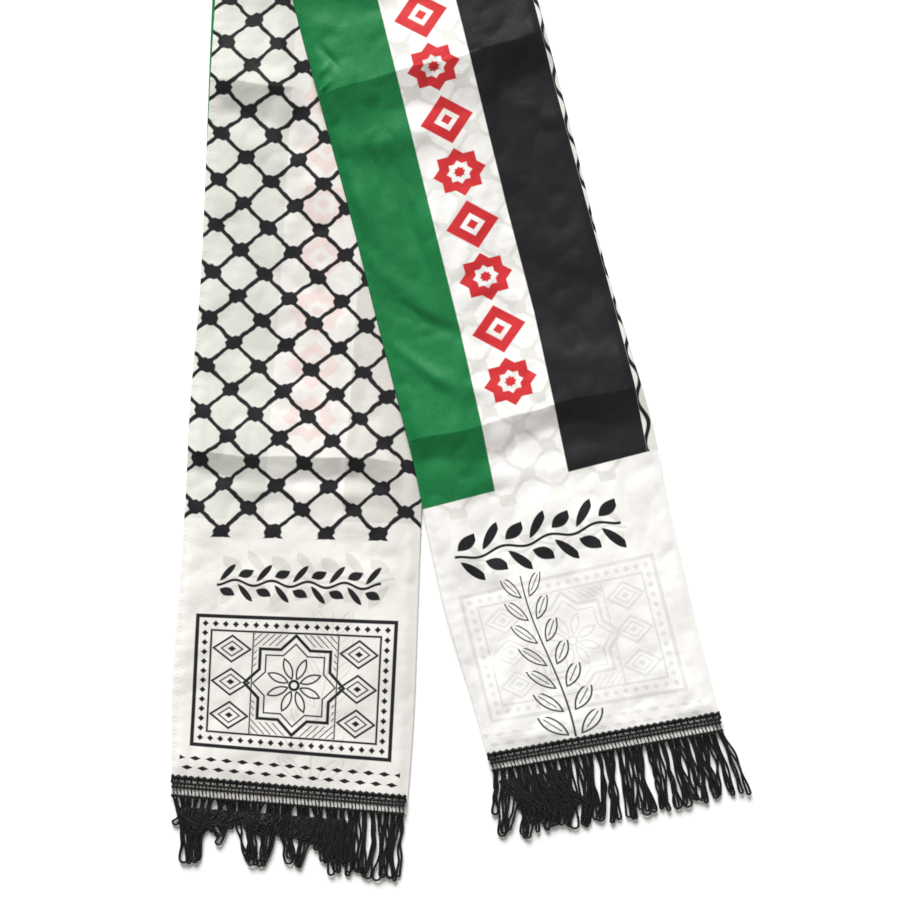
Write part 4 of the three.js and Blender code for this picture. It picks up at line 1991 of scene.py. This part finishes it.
@dataclass(frozen=True)
class PrintedSatin:
    """Thin printed satin, with the other layer's print showing faintly through it."""

    name: str
    # The cloth under the print; the net side's is darkened as painted shade
    cloth: Shade
    roughness: float
    rougher_slubs: float = 0.16
    darker_slubs: float = 0.03
    green_slubs: float = 0.3
    sheen: float = 0.02
    sheen_roughness: float = 0.4
    gloss: float = 0.2
    relief: float = 0.6
    relief_depth: float = 0.15

    def material(self, inks: Effect, weave: Effect) -> bpy.types.Material:
        """Makes the finish.

        Args:
            inks: The group that gives the print's inks.
            weave: The group that gives the satin's weave.

        Returns:
            The material.
        """
        made, tree, shader = bare_material(self.name)
        place = tree.nodes.new("ShaderNodeUVMap")
        place.uv_map = "Print"
        split = tree.nodes.new("ShaderNodeSeparateXYZ")
        tree.links.new(place.outputs["UV"], split.inputs[0])
        around = Field(tree, split.outputs["X"]) * (1 / MM)
        run = Field(tree, split.outputs["Y"]) * (1 / MM)
        front = inks.placed(tree, Around=around, Run=run)
        behind = inks.placed(tree, Around=-around + PRINT_WIDTH, Run=run)
        satin = weave.placed(tree, Around=around, Run=run)
        paint = Paint(tree, self.cloth)
        paint.over(behind["Red"], GHOST_RED, Blend.TINT)
        paint.over(behind["Black"], GHOST_BLACK, Blend.TINT)
        paint.over(behind["Green"], GHOST_GREEN, Blend.TINT)
        paint.over(front["Green"], GREEN_INK)
        paint.over(front["Green"] * satin["Slub"] * self.green_slubs, DARK_GREEN_INK)
        paint.over(front["Red"], RED_INK)
        paint.over(front["Black"], BLACK_INK)
        paint.over(satin["Slub"] * self.darker_slubs, Shade(0.0, 0.0, 0.0))
        tree.links.new(paint.socket, shader.inputs["Base Color"])
        rough = (satin["Slub"] - 0.5) * self.rougher_slubs + self.roughness
        tree.links.new(rough.socket, shader.inputs["Roughness"])
        add_bump(satin["Height"], shader, self.relief, self.relief_depth)
        shader.inputs["Sheen Weight"].default_value = self.sheen
        shader.inputs["Sheen Roughness"].default_value = self.sheen_roughness
        shader.inputs["Specular IOR Level"].default_value = self.gloss
        return made


@dataclass(frozen=True)
class SatinWeave:
    """The satin's fine ribs, slubs and puckers, and the stitches down its sewn side."""

    rib: float = 0.36
    rib_slant: float = 0.35
    rib_height: float = 0.12
    slub_long: float = 2.0
    slub_wide: float = 0.7
    slub_height: float = 0.5
    slub_from: float = 0.35
    slub_contrast: float = 3.0
    pucker: float = 7.0
    pucker_height: float = 2.0
    seam_in: float = 2.4
    stitch: float = 2.6
    stitch_half_width: float = 0.35
    stitch_edge: float = 0.2
    stitch_depth: float = 1.2
    gather_within: float = 6.0
    gather_fade: float = 4.0
    gather_height: float = 0.6

    def group(self) -> Effect:
        """Makes the group.

        Returns:
            The group, from the place on the print to its height and its slubs.
        """
        group = Effect("satin_weave", ("Around", "Run"), ("Height", "Slub"))
        around, run = group.given("Around"), group.given("Run")
        ribs = ((run + around * self.rib_slant) * (2 * math.pi / self.rib)).math("SINE")
        slub = group.noise(around * (1 / self.slub_long), run * (1 / self.slub_wide), 1.0, 3.0)
        pucker = group.noise(around, run, self.pucker, 2.0)
        from_seam = abs(abs(around - PRINT_WIDTH / 2) - PRINT_WIDTH)
        seam = (abs(from_seam - self.seam_in) - self.stitch_half_width).ink(self.stitch_edge)
        stitches = seam * (run.folded(self.stitch / 2) - self.stitch / 3).ink(self.stitch_edge)
        gather = (run * (2 * math.pi / (3 * self.stitch))).math("SINE")
        gather = gather * (from_seam - self.gather_within).ink(self.gather_fade)
        height = ribs * self.rib_height + slub * self.slub_height + pucker * self.pucker_height
        height = height - stitches * self.stitch_depth + gather * self.gather_height
        group.give("Height", height)
        group.give("Slub", (slub - self.slub_from).math("MULTIPLY", self.slub_contrast, clamp=True))
        return group


@dataclass(frozen=True)
class BlackYarn:
    """Glossy black rayon yarn, with fine fibres round it."""

    name: str
    roughness: float
    fibres: float = 1400.0
    fibre_detail: float = 3.0
    rougher_fibres: float = 0.2
    gloss: float = 0.3
    relief: float = 0.5
    relief_depth: float = 0.1

    def material(self) -> bpy.types.Material:
        """Makes the finish.

        Returns:
            The material.
        """
        made, tree, shader = bare_material(self.name)
        place = tree.nodes.new("ShaderNodeTexCoord")
        fibre = tree.nodes.new("ShaderNodeTexNoise")
        fibre.inputs["Scale"].default_value = self.fibres
        fibre.inputs["Detail"].default_value = self.fibre_detail
        tree.links.new(place.outputs["Object"], fibre.inputs["Vector"])
        amount = Field(tree, fibre.outputs["Fac"])
        # Darkest where the fibre bump is low: painted shade between the fibres
        paint = Paint(tree, FIBRE_GAP_SHADE)
        paint.over(amount, FIBRE_BLACK)
        tree.links.new(paint.socket, shader.inputs["Base Color"])
        rough = (amount - 0.5) * self.rougher_fibres + self.roughness
        tree.links.new(rough.socket, shader.inputs["Roughness"])
        add_bump(amount, shader, self.relief, self.relief_depth)
        shader.inputs["Specular IOR Level"].default_value = self.gloss
        return made


def main() -> None:
    """Builds the scarf on its frame and sets up the view."""
    logging.basicConfig(level=logging.INFO, format="%(name)s: %(message)s")
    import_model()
    Studio().build()
    cloth = ScarfCloth()
    sheets, length = cloth.build()
    LOG.info("cloth %.0f mm long", length)
    inks = ScarfPrint(length).inks()
    weave = SatinWeave().group()
    # The net side's satin starts from the cloth colour darkened as painted shade
    net_satin = PrintedSatin("net_satin", SHADED_NET_CLOTH, roughness=0.54).material(inks, weave)
    flag_satin = PrintedSatin("flag_satin", WHITE_CLOTH, roughness=0.52).material(inks, weave)
    yarn = BlackYarn("fringe_yarn", roughness=0.45).material()
    cloth.dress(sheets, net_satin, flag_satin)
    trims = [[Braid(end.place).build(yarn), end.build(yarn)] for end in (LEFT_FRINGE, RIGHT_FRINGE)]


if __name__ == "__main__":
    main()
